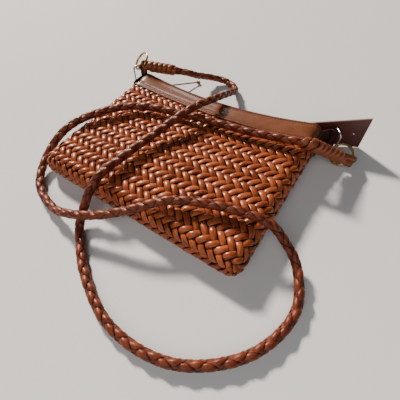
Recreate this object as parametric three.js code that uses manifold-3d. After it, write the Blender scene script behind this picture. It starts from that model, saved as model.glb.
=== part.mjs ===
// A woven leather clutch with a braided shoulder strap, lying on its back.
// Millimetres. X runs across the bag, Y from its bottom edge to its mouth, Z up from the ground.
import * as THREE from "three";
import { mergeVertices } from "three/addons/utils/BufferGeometryUtils.js";
import Module from "manifold-3d";

const wasm = await Module();
wasm.setup();

// Driving dimensions

const GAP = 0.3; // clearance between pieces that touch
const LEATHER = 2.4; // wall of the woven body
const BAND_LEATHER = 2.2; // wall of the plain band
const HALF_WIDTH = 115; // of the bag at its bottom edge
const EDGE = 14; // radius of the rounded edges, seen from above
const SIDE_LEVEL = 13; // height of the line where front and back sheets meet
const ROW_PITCH = 9.2; // of the weave, up the bag
const WEAVE_ROWS = 18;
const BAND_WIDTH = 26;
const MOUTH_DIP = 5.3; // how far the middle of the mouth hangs below its corners
const DIP_FROM = 30; // the dip grows from here up the bag, over the length below
const DIP_LENGTH = 120;
const MOUTH_TILT = 6; // the right corner lies this much higher up, the left one lower
const LEAN_LEFT = -11; // sideways shift of the left edge at the mouth
const LEAN_RIGHT = -2.4;
const LEAN_LENGTH = 170; // the shifts above are reached this far up the bag

// Height of the front face above the ground at stations up the bag
const FACE_STATIONS = [
  { up: 0, left: 27, middle: 28, right: 27 },
  { up: 55, left: 28, middle: 31, right: 28 },
  { up: 110, left: 28, middle: 29, right: 29 },
  { up: 150, left: 29, middle: 26, right: 33 },
  { up: 184, left: 30, middle: 23.5, right: 36 },
];

// Steps of the sheets: across a flat, round an edge, up the bag and up the band
const STEPS = { across: 16, round: 5, up: 12, band: 3 };

const ZIP_DEPTH = 8; // of the zip below the mouth's edge
const ZIP_PANEL = { thick: 1.5, left: -100, right: 66, gap: 2.9, stations: 14 };
const ZIP_TEETH = { thick: 2.4, half: 2.6, sunk: 0.4 };
const SLIDER = { at: -88, length: 11, width: 8, plate: 2.4 };
const ARCH = { half: 4, width: 2.4, height: 5.4, wall: 1.3, chamfer: 1.6, foot: 1, sill: 0.2 };
const PULL = { ring: 3.6, thong: 0.9, knob: 2.2, knobStretch: 1.6, eyeSide: 1.2, eyeUp: 0.6 };
const PULL_RUN = { across: 22, up: 46, bendAt: 0.45, bendHeight: 0.62 }; // how the thong lies

// The tab that the zip runs out into, as stations along X
const TAB_THICK = 2;
const TAB_STATIONS = [
  { x: 66.4, y: 179.5, low: 8, high: 22 },
  { x: 84, y: 184.4, low: 5.5, high: 25.5 },
  { x: 96, y: 193.4, low: 4.2, high: 29 },
  { x: 110, y: 200.4, low: 2.8, high: 32 },
  { x: 124, y: 207.6, low: 1.6, high: 34.5 },
  { x: 148, y: 219, low: 0.6, high: 39.5 },
];
const TAB_HOLE = { x: 138, y: 214, z: 18, radius: 1.1, reach: 30 };

// Side loops: a strap of leather sewn to the end of the band and rolled round a wire link
const LOOP = { thick: 1.8, roll: 4.4, hole: 2.4, low: 3.6, high: 27.6, tail: 20, steps: 8 };
const ROLL_FROM = 230; // degrees, where the loop's outline meets and leaves its roll
const ROLL_TO = 510;
const LOOP_OUT = 8; // from the end of the band to the roll's axis, sideways
const LOOP_UP = 9.5; // and up the bag
const LINK = { wire: 1.1, width: 12.8, low: 2, high: 29.5, corner: 4 };
const RING = { radius: 11.5, wire: 1.3 };
const RING_PULL = 7.8; // from the left link's wire to the centre of the ring that hangs on it
const RIGHT_RING = { pull: 8.7, way: [0.922, -0.388, 0], height: 9.3, tilt: 38 };
const LEFT_RING_LEAN = { back: 0.72, up: 0.69 };
const RIGHT_LINK_TURN = -51; // degrees, the way that the right link points from its roll
const LEFT_LINK_TURN = -127;

// Ends of the strap: an eye of cord round a ring, then a whipping of thong in ridged turns
const EYE = { bend: 4.6, cord: 2.8, leg: 2.9, reach: 14, sides: 8, steps: 14 };
const WHIP = { radius: 6.2, ridge: 0.45, turns: 8, start: 12, length: 36, sides: 12 };
const LEFT_END_WAY = [0.9, 0.42, -0.1]; // the way that each end runs from its ring
const RIGHT_END_WAY = [-0.66, -0.565, 0.497];

const STRAP = { radius: 4.7, sides: 10, steps: 76, lead: 9 }; // lead: its straight run out of a whipping

// The strap's route from the left whipping to the right one
const STRAP_ROUTE = [
  [-67.5, 212.5, 23.4], [-64, 227, 15.8], [-56.5, 240.5, 9.2], [-42, 247, 5.8],
  [-27, 242.5, 5.4], [-17, 228.5, 9.8], [-12.5, 206, 20], [-10, 172, 33.5],
  [-15, 128, 43.4], [-24.5, 86, 39.2], [-33, 32, 36.2], [-35.5, 11, 34.2],
  [-36.5, -3, 25.8], [-36, -16, 13.8], [-31, -28, 7.2], [-19, -39.5, 5.3],
  [6, -58, 5], [54, -77, 5], [106, -71, 5], [148, -36, 5],
  [161.5, 8, 5.4], [147.5, 39.5, 10.5], [130, 49, 21], [113, 50, 31.8],
  [40, 25, 35.8], [9, -3, 29.8], [-14, -18, 22.7], [-40, -29, 18],
  [-66, -29.5, 9.2], [-105, -15, 5.2], [-123.5, 14, 12.5], [-120.5, 41, 27],
  [-107, 68, 34.6], [-78, 107, 34.4], [-15, 128, 33], [50, 137, 35],
];

// Materials

function finish(color, roughness, metalness = 0) {
  return new THREE.MeshStandardMaterial({ color, roughness, metalness });
}

const wovenLeather = finish(0x8a3f16, 0.42);
const bandLeather = finish(0x7d4a30, 0.5);
const strapLeather = finish(0x7c3516, 0.45);
const tabLeather = finish(0x6b4036, 0.6);
const zipCloth = finish(0x33201a, 0.9);
const brass = finish(0xb9924c, 0.3, 1);
const steel = finish(0xa8a8a4, 0.3, 1);

// Plain geometry helpers

const clutch = new THREE.Group();
const vec = (x, y, z) => new THREE.Vector3(x, y, z);
const clamp01 = (f) => Math.min(1, Math.max(0, f));
const mix = (a, b, f) => a + (b - a) * f;

function ease(f) {
  const g = clamp01(f);
  return g * g * (3 - 2 * g);
}

function addPiece(name, geometry, material) {
  const mesh = new THREE.Mesh(geometry, material);
  mesh.name = name;
  clutch.add(mesh);
}

function geometryOf(triangles) {
  const geometry = new THREE.BufferGeometry();
  geometry.setFromPoints(triangles.flat());
  return mergeVertices(geometry, 1e-4);
}

// Adds the faces of a grid of points; flipped turns them over
function addGrid(triangles, grid, flipped) {
  for (let row = 0; row + 1 < grid.length; row++) {
    for (let col = 0; col + 1 < grid[row].length; col++) {
      const a = grid[row][col];
      const b = grid[row][col + 1];
      const c = grid[row + 1][col + 1];
      const d = grid[row + 1][col];
      if (flipped) triangles.push([a, c, b], [a, d, c]);
      else triangles.push([a, b, c], [a, c, d]);
    }
  }
}

// A closed solid through rings of points that run anticlockwise seen from its end
function loft(rings) {
  const triangles = [];
  addGrid(triangles, rings.map((ring) => [...ring, ring[0]]), false);
  const last = rings[rings.length - 1];
  for (let i = 1; i + 1 < last.length; i++) {
    triangles.push([rings[0][0], rings[0][i + 1], rings[0][i]]);
    triangles.push([last[0], last[i], last[i + 1]]);
  }
  return geometryOf(triangles);
}

// A closed wire along a flat closed line of points
function closedWire(points, normal, radius, sides) {
  const count = points.length;
  const rings = points.map((point, i) => {
    const ahead = points[(i + 1) % count].clone().sub(points[(i + count - 1) % count]).normalize();
    const inward = normal.clone().cross(ahead);
    return Array.from({ length: sides }, (_, k) => {
      const turn = (2 * Math.PI * k) / sides;
      return point.clone()
        .addScaledVector(inward, radius * Math.cos(turn))
        .addScaledVector(normal, radius * Math.sin(turn));
    });
  });
  const triangles = [];
  addGrid(triangles, [...rings, rings[0]].map((ring) => [...ring, ring[0]]), false);
  return geometryOf(triangles);
}

// A round rod along a curve, closed at both ends
function rod(curve, radius, sides, steps) {
  const section = new THREE.Shape();
  for (let k = 0; k < sides; k++) {
    const turn = (2 * Math.PI * k) / sides;
    const put = k === 0 ? "moveTo" : "lineTo";
    section[put](radius * Math.cos(turn), radius * Math.sin(turn));
  }
  return new THREE.ExtrudeGeometry(section, { steps, extrudePath: curve });
}

function asSolid(geometry) {
  const bare = geometry.clone();
  bare.deleteAttribute("normal");
  bare.deleteAttribute("uv");
  const merged = mergeVertices(bare, 1e-4);
  return new wasm.Manifold(new wasm.Mesh({
    numProp: 3,
    vertProperties: new Float32Array(merged.attributes.position.array),
    triVerts: new Uint32Array(merged.index.array),
  }));
}

function fromSolid(solid) {
  const mesh = solid.getMesh();
  const geometry = new THREE.BufferGeometry();
  geometry.setAttribute("position", new THREE.BufferAttribute(mesh.vertProperties, 3));
  geometry.setIndex(new THREE.BufferAttribute(mesh.triVerts, 1));
  return geometry;
}

function joined(geometries) {
  return fromSolid(geometries.map(asSolid).reduce((sum, solid) => sum.add(solid)));
}

// The soft form: two sheets that meet along a line round the sides and bottom

const SHEET_FLAT = HALF_WIDTH - EDGE;
const SHEET_ROUND = (EDGE * Math.PI) / 2;
const SHEET_HALF = SHEET_FLAT + SHEET_ROUND;
const WOVEN_LENGTH = ROW_PITCH * WEAVE_ROWS;
const MOUTH = WOVEN_LENGTH + BAND_WIDTH;

function faceHeight(x, y) {
  const stations = FACE_STATIONS;
  let i = 0;
  while (i + 2 < stations.length && y > stations[i + 1].up) i++;
  const f = ease((y - stations[i].up) / (stations[i + 1].up - stations[i].up));
  const at = (column) => mix(stations[i][column], stations[i + 1][column], f);
  const side = Math.min(1, Math.max(-1, x / HALF_WIDTH));
  const mean = (at("left") + at("right")) / 2;
  return at("middle") + ((at("right") - at("left")) / 2) * side + (mean - at("middle")) * side * side;
}

// The lie of the bag on the ground: lean, tilt and dip of the mouth
function laid(x, y, z) {
  const share = 0.5 + (0.5 * x) / HALF_WIDTH;
  const lean = (mix(LEAN_LEFT, LEAN_RIGHT, share) * y) / LEAN_LENGTH;
  const tilt = (MOUTH_TILT * x * y) / (HALF_WIDTH * LEAN_LENGTH);
  const dip = MOUTH_DIP * (1 - (x / HALF_WIDTH) ** 2) * ease((y - DIP_FROM) / DIP_LENGTH);
  return vec(x + lean, y + tilt - dip, z);
}

// A point of the front or back sheet, measured across and up the leather, set in by a depth
function sheetPoint(across, up, front, depth) {
  const radius = EDGE - depth;
  const over = Math.sin((clamp01((Math.abs(across) - SHEET_FLAT) / SHEET_ROUND) * Math.PI) / 2);
  const under = Math.sin((clamp01(1 - up / SHEET_ROUND) * Math.PI) / 2);
  const u = over * Math.sqrt(1 - (under * under) / 2);
  const v = under * Math.sqrt(1 - (over * over) / 2);
  const rim = Math.sqrt(Math.max(0, 1 - u * u - v * v));
  const x = Math.sign(across) * (Math.min(Math.abs(across), SHEET_FLAT) + radius * u);
  const y = EDGE - radius * v + Math.max(0, up - SHEET_ROUND);
  const rise = front ? faceHeight(x, y) - SIDE_LEVEL - depth : depth - SIDE_LEVEL;
  return laid(x, y, SIDE_LEVEL + rise * rim);
}

// Sideways reach of the band's outside at a height and a distance up the sheet
function sideReach(sign, up, height) {
  const y = EDGE + up - SHEET_ROUND;
  const rise = height > SIDE_LEVEL ? faceHeight(sign * HALF_WIDTH, y) - SIDE_LEVEL : SIDE_LEVEL;
  const rim = Math.min(1, Math.abs(height - SIDE_LEVEL) / rise);
  return laid(sign * (SHEET_FLAT + EDGE * Math.sqrt(1 - rim * rim)), y, height);
}

function evenSteps(from, to, count) {
  return Array.from({ length: count + 1 }, (_, i) => mix(from, to, i / count));
}

const ACROSS = [
  ...evenSteps(-SHEET_HALF, -SHEET_FLAT, STEPS.round),
  ...evenSteps(-SHEET_FLAT, SHEET_FLAT, STEPS.across).slice(1, -1),
  ...evenSteps(SHEET_FLAT, SHEET_HALF, STEPS.round),
];

// A wall of leather between two depths, along the listed distances up the sheet
function leatherWall(ups, thickness, openBelow) {
  const triangles = [];
  for (const front of [true, false]) {
    const sheet = (depth) => ups.map((up) => ACROSS.map((across) => sheetPoint(across, up, front, depth)));
    const outer = sheet(0);
    const inner = sheet(thickness);
    addGrid(triangles, outer, !front);
    addGrid(triangles, inner, front);
    addGrid(triangles, [outer[outer.length - 1], inner[inner.length - 1]], !front);
    if (openBelow) addGrid(triangles, [inner[0], outer[0]], !front);
  }
  return geometryOf(triangles);
}

// Woven body and the plain band round its mouth

const bodyUps = [
  ...evenSteps(0, SHEET_ROUND, STEPS.round),
  ...evenSteps(SHEET_ROUND, WOVEN_LENGTH, STEPS.up).slice(1),
];
addPiece("woven_body", leatherWall(bodyUps, LEATHER, false), wovenLeather);
const bandUps = evenSteps(WOVEN_LENGTH + GAP, MOUTH, STEPS.band);
addPiece("mouth_band", leatherWall(bandUps, BAND_LEATHER, true), bandLeather);

// Zip: two cloth panels, the closed teeth, the slider and its thong

function zipLine(x) {
  const top = sheetPoint(x, MOUTH - ZIP_DEPTH, true, 0);
  return { x: top.x, y: top.y, middle: top.z / 2, inside: top.z - BAND_LEATHER - GAP };
}

function boxRing(x, y, low, high, thick) {
  return [vec(x, y, low), vec(x, y + thick, low), vec(x, y + thick, high), vec(x, y, high)];
}

const zipStations = evenSteps(ZIP_PANEL.left, ZIP_PANEL.right, ZIP_PANEL.stations).map(zipLine);
const frontPanel = zipStations.map(({ x, y, middle, inside }) =>
  boxRing(x, y, middle + ZIP_PANEL.gap, inside, ZIP_PANEL.thick));
const backPanel = zipStations.map(({ x, y, middle }) =>
  boxRing(x, y, BAND_LEATHER + GAP, middle - ZIP_PANEL.gap, ZIP_PANEL.thick));
const teeth = zipStations.map(({ x, y, middle }) =>
  boxRing(x, y - ZIP_TEETH.sunk, middle - ZIP_TEETH.half, middle + ZIP_TEETH.half, ZIP_TEETH.thick));
addPiece("zip_panel_front", loft(frontPanel), zipCloth);
addPiece("zip_panel_back", loft(backPanel), zipCloth);
addPiece("zip_teeth", loft(teeth), steel);

const sliderSeat = zipLine(SLIDER.at);
const sliderBase = sliderSeat.y - ZIP_TEETH.sunk + ZIP_TEETH.thick + GAP;

function sliderPlate() {
  const plate = new THREE.BoxGeometry(SLIDER.length, SLIDER.plate, SLIDER.width);
  return plate.translate(sliderSeat.x, sliderBase + SLIDER.plate / 2, sliderSeat.middle);
}

// Corners of an arch as seen from the side, from its right foot over the top to its left one
function archCorners(half, base, top) {
  return [
    [half, base], [half, top - ARCH.chamfer], [half - ARCH.chamfer, top],
    [ARCH.chamfer - half, top], [-half, top - ARCH.chamfer], [-half, base],
  ].map(([x, y]) => new THREE.Vector2(x, y));
}

function sliderArch() {
  const outline = new THREE.Shape(archCorners(ARCH.half, -ARCH.foot, ARCH.height));
  const opening = archCorners(ARCH.half - ARCH.wall, ARCH.sill, ARCH.height - ARCH.wall);
  outline.holes.push(new THREE.Path(opening));
  const arch = new THREE.ExtrudeGeometry(outline, { depth: ARCH.width, bevelEnabled: false });
  return arch.translate(sliderSeat.x, sliderBase + SLIDER.plate, sliderSeat.middle - ARCH.width / 2);
}

addPiece("zip_slider", joined([sliderPlate(), sliderArch()]), steel);

function pullThong() {
  const top = sliderBase + SLIDER.plate + ARCH.height;
  const eye = vec(sliderSeat.x + PULL.eyeSide, top + PULL.eyeUp, sliderSeat.middle);
  const loop = new THREE.TorusGeometry(PULL.ring, PULL.thong, 6, 14);
  loop.rotateY(Math.PI / 2).translate(...eye);
  const start = eye.clone().add(vec(0, PULL.ring, 0));
  const end = vec(start.x + PULL_RUN.across, start.y + PULL_RUN.up, PULL.knob + GAP);
  const bend = start.clone().lerp(end, PULL_RUN.bendAt).setZ(start.z * PULL_RUN.bendHeight);
  const line = new THREE.CatmullRomCurve3([start, bend, end]);
  const knob = new THREE.SphereGeometry(PULL.knob, 10, 6).scale(PULL.knobStretch, 1, 1);
  knob.rotateZ(Math.atan2(PULL_RUN.up, PULL_RUN.across)).translate(...end);
  return joined([loop, rod(line, PULL.thong, 8, 10), knob]);
}

addPiece("zip_pull", pullThong(), strapLeather);

// End tab of the zip, standing on its lower edge beyond the right corner

function tabGeometry() {
  const rings = TAB_STATIONS.map(({ x, y, low, high }) =>
    boxRing(x, y - TAB_THICK / 2, low, high, TAB_THICK));
  const hole = new THREE.CylinderGeometry(TAB_HOLE.radius, TAB_HOLE.radius, TAB_HOLE.reach, 10);
  hole.translate(TAB_HOLE.x, TAB_HOLE.y, TAB_HOLE.z);
  return fromSolid(asSolid(loft(rings)).subtract(asSolid(hole)));
}

addPiece("end_tab", tabGeometry(), tabLeather);

// Side loops, links and rings

function rollCentre(sign) {
  const corner = sideReach(sign, MOUTH, SIDE_LEVEL);
  return vec(corner.x + sign * LOOP_OUT, corner.y + LOOP_UP, 0);
}

// Outline of a loop seen from above, for the right side; the left one is its mirror image
function loopOutline(corner, centre) {
  const inner = corner.x + GAP;
  const outer = inner + LOOP.thick;
  const outline = new THREE.Shape();
  outline.moveTo(inner, corner.y - LOOP.tail);
  outline.lineTo(outer, corner.y - LOOP.tail);
  outline.lineTo(outer, corner.y - LOOP.tail / 2);
  outline.lineTo(outer, corner.y - 1);
  for (const angle of evenSteps(ROLL_FROM, ROLL_TO, 12)) {
    const turn = THREE.MathUtils.degToRad(angle);
    outline.lineTo(centre.x + LOOP.roll * Math.cos(turn), centre.y + LOOP.roll * Math.sin(turn));
  }
  outline.lineTo(inner, corner.y + 3);
  outline.lineTo(inner, corner.y - LOOP.tail / 2);
  const hole = new THREE.Path();
  hole.absarc(centre.x, centre.y, LOOP.hole, 0, 2 * Math.PI, true);
  outline.holes.push(hole);
  return outline;
}

function sideLoop(sign) {
  const corner = sideReach(sign, MOUTH, SIDE_LEVEL);
  const centre = rollCentre(sign);
  const mirrored = (point) => vec(sign * point.x, point.y, 0);
  const outline = loopOutline(mirrored(corner), mirrored(centre));
  const depth = LOOP.high - LOOP.low;
  const options = { depth, steps: LOOP.steps, bevelEnabled: false, curveSegments: 5 };
  const geometry = new THREE.ExtrudeGeometry(outline, options).translate(0, 0, LOOP.low);
  const place = geometry.attributes.position;
  for (let i = 0; i < place.count; i++) {
    const hug = 1 - ease((place.getY(i) - corner.y) / (LOOP_UP - 1));
    const up = MOUTH + Math.min(0, place.getY(i) - corner.y);
    const reach = sideReach(sign, up, place.getZ(i)).x - corner.x;
    place.setX(i, sign * place.getX(i) + hug * reach);
  }
  if (sign > 0) return geometry;
  const turned = [];
  for (let i = 0; i < place.count; i += 3) {
    const [a, b, c] = [0, 1, 2].map((k) => new THREE.Vector3().fromBufferAttribute(place, i + k));
    turned.push([a, c, b]);
  }
  return geometryOf(turned);
}

// A wire link: a rectangle with round corners, standing on edge from the roll's axis
function linkFrame(sign) {
  const turn = THREE.MathUtils.degToRad(sign > 0 ? RIGHT_LINK_TURN : LEFT_LINK_TURN);
  return { axis: rollCentre(sign), along: vec(Math.cos(turn), Math.sin(turn), 0) };
}

function wireLink(sign) {
  const { axis, along } = linkFrame(sign);
  const points = [];
  const corners = [
    { out: LINK.width, up: LINK.high, from: 0 },
    { out: 0, up: LINK.high, from: 90 },
    { out: 0, up: LINK.low, from: 180 },
    { out: LINK.width, up: LINK.low, from: 270 },
  ];
  for (const { out, up, from } of corners) {
    const midOut = out === 0 ? LINK.corner : out - LINK.corner;
    const midUp = up === LINK.low ? up + LINK.corner : up - LINK.corner;
    for (const angle of evenSteps(from, from + 90, 4)) {
      const turn = THREE.MathUtils.degToRad(angle);
      const point = axis.clone().addScaledVector(along, midOut + LINK.corner * Math.cos(turn));
      point.z = midUp + LINK.corner * Math.sin(turn);
      points.push(point);
    }
  }
  const normal = along.clone().cross(vec(0, 0, 1)).normalize();
  return closedWire(points, normal, LINK.wire, 6);
}

// A round ring given by its centre and two directions in its plane
function roundRing({ centre, first, second }) {
  const geometry = new THREE.TorusGeometry(RING.radius, RING.wire, 8, 24);
  const basis = new THREE.Matrix4().makeBasis(first, second, first.clone().cross(second));
  return geometry.applyMatrix4(basis.setPosition(centre));
}

// Right: the ring hangs on the link's far upright and lies tilted on the ground
function rightRing() {
  const { axis, along } = linkFrame(1);
  const first = vec(...RIGHT_RING.way).normalize();
  const centre = axis.clone().addScaledVector(along, LINK.width).addScaledVector(first, RIGHT_RING.pull);
  centre.z = RIGHT_RING.height;
  const tilt = THREE.MathUtils.degToRad(RIGHT_RING.tilt);
  const second = vec(-first.y * Math.cos(tilt), first.x * Math.cos(tilt), Math.sin(tilt));
  return { centre, first, second };
}

// Left: the ring hangs on the link's top wire and leans back on the strap's end
function leftRing() {
  const { axis, along } = linkFrame(-1);
  const second = along.clone().multiplyScalar(-LEFT_RING_LEAN.back).setZ(LEFT_RING_LEAN.up).normalize();
  const first = vec(-along.y, along.x, 0);
  const centre = axis.clone().addScaledVector(along, LINK.width / 2);
  centre.z = LINK.high;
  return { centre: centre.addScaledVector(second, RING_PULL), first, second };
}

const rings = { left: leftRing(), right: rightRing() };
for (const [sign, side] of [[-1, "left"], [1, "right"]]) {
  addPiece(`side_loop_${side}`, sideLoop(sign), bandLeather);
  addPiece(`side_link_${side}`, wireLink(sign), steel);
  addPiece(`strap_ring_${side}`, roundRing(rings[side]), brass);
}
const restingBox = new THREE.Box3().setFromObject(clutch);

// Strap and its ends

function endFrame({ centre, first, second }, way) {
  const along = vec(...way).normalize();
  const side = along.clone().cross(second).normalize();
  const across = second.clone().cross(side).normalize();
  return { hold: centre.clone().addScaledVector(first, RING.radius), along, side, across };
}

// The eye: a bend of cord round the ring's wire, with both legs running into the whipping
function eyeRod({ hold, along, side, across }) {
  const leg = (sign) => [
    hold.clone().addScaledVector(along, EYE.reach).addScaledVector(side, sign * EYE.leg),
    hold.clone().addScaledVector(along, EYE.reach / 2).addScaledVector(side, sign * EYE.bend),
  ];
  const bend = evenSteps(0, Math.PI, 4).map((turn) => hold.clone()
    .addScaledVector(side, EYE.bend * Math.cos(turn))
    .addScaledVector(across, -EYE.bend * Math.sin(turn)));
  const points = [...leg(1), ...bend, ...leg(-1).reverse()];
  return rod(new THREE.CatmullRomCurve3(points), EYE.cord, EYE.sides, EYE.steps);
}

function whipping({ hold, along }) {
  const profile = [new THREE.Vector2(0, 0)];
  for (let half = 0; half <= 2 * WHIP.turns; half++) {
    const ridge = half % 2 === 0 ? -WHIP.ridge : WHIP.ridge;
    profile.push(new THREE.Vector2(WHIP.radius + ridge, (half * WHIP.length) / (2 * WHIP.turns)));
  }
  profile.push(new THREE.Vector2(0, WHIP.length));
  const turn = new THREE.Quaternion().setFromUnitVectors(vec(0, 1, 0), along);
  const foot = hold.clone().addScaledVector(along, WHIP.start);
  return new THREE.LatheGeometry(profile, WHIP.sides).applyQuaternion(turn).translate(...foot);
}

const ends = { left: endFrame(rings.left, LEFT_END_WAY), right: endFrame(rings.right, RIGHT_END_WAY) };
for (const [side, frame] of Object.entries(ends)) {
  addPiece(`strap_end_${side}`, joined([eyeRod(frame), whipping(frame)]), strapLeather);
}

function strapLead({ hold, along }) {
  const face = hold.clone().addScaledVector(along, WHIP.start + WHIP.length + GAP);
  return [face, face.clone().addScaledVector(along, STRAP.lead)];
}

const strapLine = new THREE.CatmullRomCurve3([
  ...strapLead(ends.left),
  ...STRAP_ROUTE.map((point) => vec(...point)),
  ...strapLead(ends.right).reverse(),
]);
addPiece("strap", rod(strapLine, STRAP.radius, STRAP.sides, STRAP.steps), strapLeather);

// The origin lies on the ground under the middle of the bag and its rings
const middle = restingBox.getCenter(vec(0, 0, 0));
clutch.position.set(-middle.x, -middle.y, 0);

export default clutch;
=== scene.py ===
# %% [markdown]
# # A woven leather clutch with a braided strap
# The bag lies on its back with its strap looped over it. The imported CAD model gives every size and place.
# Here each of its plain solids gets the surface of the real thing: woven strips, a braid, stitches, zip
# teeth, wire and leather. All shapes are worked out in millimetres in the bag's own frame, where X runs
# across the bag, Y from the bottom fold to the mouth and Z up from the ground, and are moved into the
# frame of the CAD model at the end.

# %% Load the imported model
import math

import bmesh
import bpy
import numpy as np
from mathutils import Matrix, Vector


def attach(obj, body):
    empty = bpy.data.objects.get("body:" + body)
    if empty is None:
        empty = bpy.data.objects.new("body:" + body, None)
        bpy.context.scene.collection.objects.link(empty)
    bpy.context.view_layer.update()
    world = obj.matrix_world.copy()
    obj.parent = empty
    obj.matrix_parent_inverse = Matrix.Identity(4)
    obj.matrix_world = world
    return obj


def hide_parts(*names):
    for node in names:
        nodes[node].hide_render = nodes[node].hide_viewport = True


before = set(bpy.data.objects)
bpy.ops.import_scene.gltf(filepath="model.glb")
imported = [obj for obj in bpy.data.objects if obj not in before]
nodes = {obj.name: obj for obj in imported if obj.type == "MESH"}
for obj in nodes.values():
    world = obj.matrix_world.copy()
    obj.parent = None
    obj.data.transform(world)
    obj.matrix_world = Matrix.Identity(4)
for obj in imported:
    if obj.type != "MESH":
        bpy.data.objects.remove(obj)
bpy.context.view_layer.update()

print("CAD nodes:", ", ".join(sorted(nodes)))

# %% [markdown]
# ## One frame for everything
# The CAD model has its origin on the ground under the middle of the bag, and counts in metres. One
# constant says where the bag's own origin, the middle of its bottom fold, lies in that frame. A matrix
# made from it moves a finished mesh, so no object is ever moved, turned or scaled.

# %% From the bag's millimetres to the model's metres
BAG_ORIGIN = (-0.93849, -116.0971, 0.0)
METRES = 0.001
TO_ROW = Matrix.Scale(METRES, 4) @ Matrix.Translation(BAG_ORIGIN)


def in_row(point):
    """A point of the bag's frame, in the frame of the CAD model."""
    return TO_ROW @ Vector(point)


def linked(name, data):
    """A new object, at the origin and in the scene."""
    made = bpy.data.objects.new(name, data)
    bpy.context.scene.collection.objects.link(made)
    return made


print("the bottom fold's middle is at", tuple(round(c, 4) for c in in_row((0, 0, 0))))

# %% [markdown]
# ## The camera
# The photograph was taken from close by with a wide lens, from over the right side of the bag's bottom
# edge, looking down. The turn, pitch and roll were found by fitting the bag's corners and its straight
# mouth.

# %% Place the camera
CAMERA_AT = (144.0, -89.4, 233.6)
CAMERA_TURN = 34.7  # degrees, to the left of straight up the bag
CAMERA_PITCH = 52.3  # below the horizon
CAMERA_ROLL = -1.1
CAMERA_LENS = 27.0  # millimetres, for a sensor of the size below
CAMERA_SENSOR = 36.0


def camera_matrix():
    turn = math.radians(CAMERA_TURN)
    pitch = math.radians(CAMERA_PITCH)
    level = Vector((-math.sin(turn), math.cos(turn), 0)) * math.cos(pitch)
    ahead = level - Vector((0, 0, math.sin(pitch)))
    right = Vector((math.cos(turn), math.sin(turn), 0))
    columns = Matrix((right, right.cross(ahead), -ahead)).transposed()
    rolled = columns @ Matrix.Rotation(math.radians(CAMERA_ROLL), 3, "Z")
    return Matrix.Translation(in_row(CAMERA_AT)) @ rolled.to_4x4()


camera_data = bpy.data.cameras.new("camera")
camera_data.lens = CAMERA_LENS
camera_data.sensor_width = CAMERA_SENSOR
camera = linked("camera", camera_data)
camera.matrix_world = camera_matrix()
bpy.context.scene.camera = camera
print("camera at", tuple(round(c, 3) for c in camera.location))

# %% [markdown]
# ## Building node trees with words
# Geometry Nodes and shaders are both trees of nodes. Two helpers keep the trees readable: one adds a node
# and plugs in what it is given, and a small Field class turns plus, times and so on into Math nodes, so
# that a formula in this file looks like a formula.

# %% Helpers for node trees


def plug(tree, socket, value):
    """Links a socket or field to a socket, or sets the socket to a plain value."""
    if isinstance(value, Field):
        value = value.socket
    if isinstance(value, bpy.types.NodeSocket):
        tree.links.new(value, socket)
    else:
        socket.default_value = value


def node(tree, kind, plugs=None, **settings):
    """Adds a node. plugs go by the sockets' identifiers, settings by the node's properties."""
    made = tree.nodes.new(kind)
    for name, value in settings.items():
        setattr(made, name, value)
    sockets = {socket.identifier: socket for socket in made.inputs}
    for name, value in (plugs or {}).items():
        plug(tree, sockets[name], value)
    return made


class Field:
    """A number that changes over a surface or curve; arithmetic on it adds Math nodes."""

    def __init__(self, tree, socket):
        self.tree = tree
        self.socket = socket

    def math(self, operation, other=None):
        made = node(self.tree, "ShaderNodeMath", {"Value": self}, operation=operation)
        if other is not None:
            plug(self.tree, made.inputs[1], other)
        return Field(self.tree, made.outputs["Value"])

    def __add__(self, other):
        return self.math("ADD", other)

    def __sub__(self, other):
        return self.math("SUBTRACT", other)

    def __mul__(self, other):
        return self.math("MULTIPLY", other)

    def __truediv__(self, other):
        return self.math("DIVIDE", other)

    def __pow__(self, other):
        return self.math("POWER", other)

    def clamped(self):
        return self.math("MAXIMUM", 0.0).math("MINIMUM", 1.0)


def vector(tree, **axes):
    """A vector from the axes that are given, with zero for the others."""
    return node(tree, "ShaderNodeCombineXYZ", axes).outputs["Vector"]


def new_group(kind, name, inputs, outputs):
    """A node group with named sockets: inputs as (name, type, default), outputs as (name, type)."""
    tree = bpy.data.node_groups.new(name, kind)
    for label, socket_kind, default in inputs:
        made = tree.interface.new_socket(label, in_out="INPUT", socket_type="NodeSocket" + socket_kind)
        if default is not None:
            made.default_value = default
    for label, socket_kind in outputs:
        tree.interface.new_socket(label, in_out="OUTPUT", socket_type="NodeSocket" + socket_kind)
    return tree, tree.nodes.new("NodeGroupInput").outputs, tree.nodes.new("NodeGroupOutput").inputs


def applied(carrier):
    """The plain mesh that an object's modifiers make. The object is removed."""
    depsgraph = bpy.context.evaluated_depsgraph_get()
    result = bpy.data.meshes.new_from_object(carrier.evaluated_get(depsgraph))
    bpy.data.objects.remove(carrier)
    return result


def grown(mesh, tree, inputs):
    """Runs a Geometry Nodes tree on a mesh and gives the plain mesh that it makes."""
    carrier = linked("carrier", mesh)
    modifier = carrier.modifiers.new("tree", "NODES")
    modifier.node_group = tree
    for item in tree.interface.items_tree:
        if item.in_out == "INPUT" and item.name in inputs:
            modifier[item.identifier] = inputs[item.name]
    return applied(carrier)


# %% [markdown]
# ## Turning meshes into pieces
# A path is a mesh of points and edges, which Geometry Nodes can turn into a curve. A finished mesh gets
# its normals recalculated, because a sweep can come out inside out, and is then moved into the model's
# frame.

# %% Helpers for paths and pieces


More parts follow.
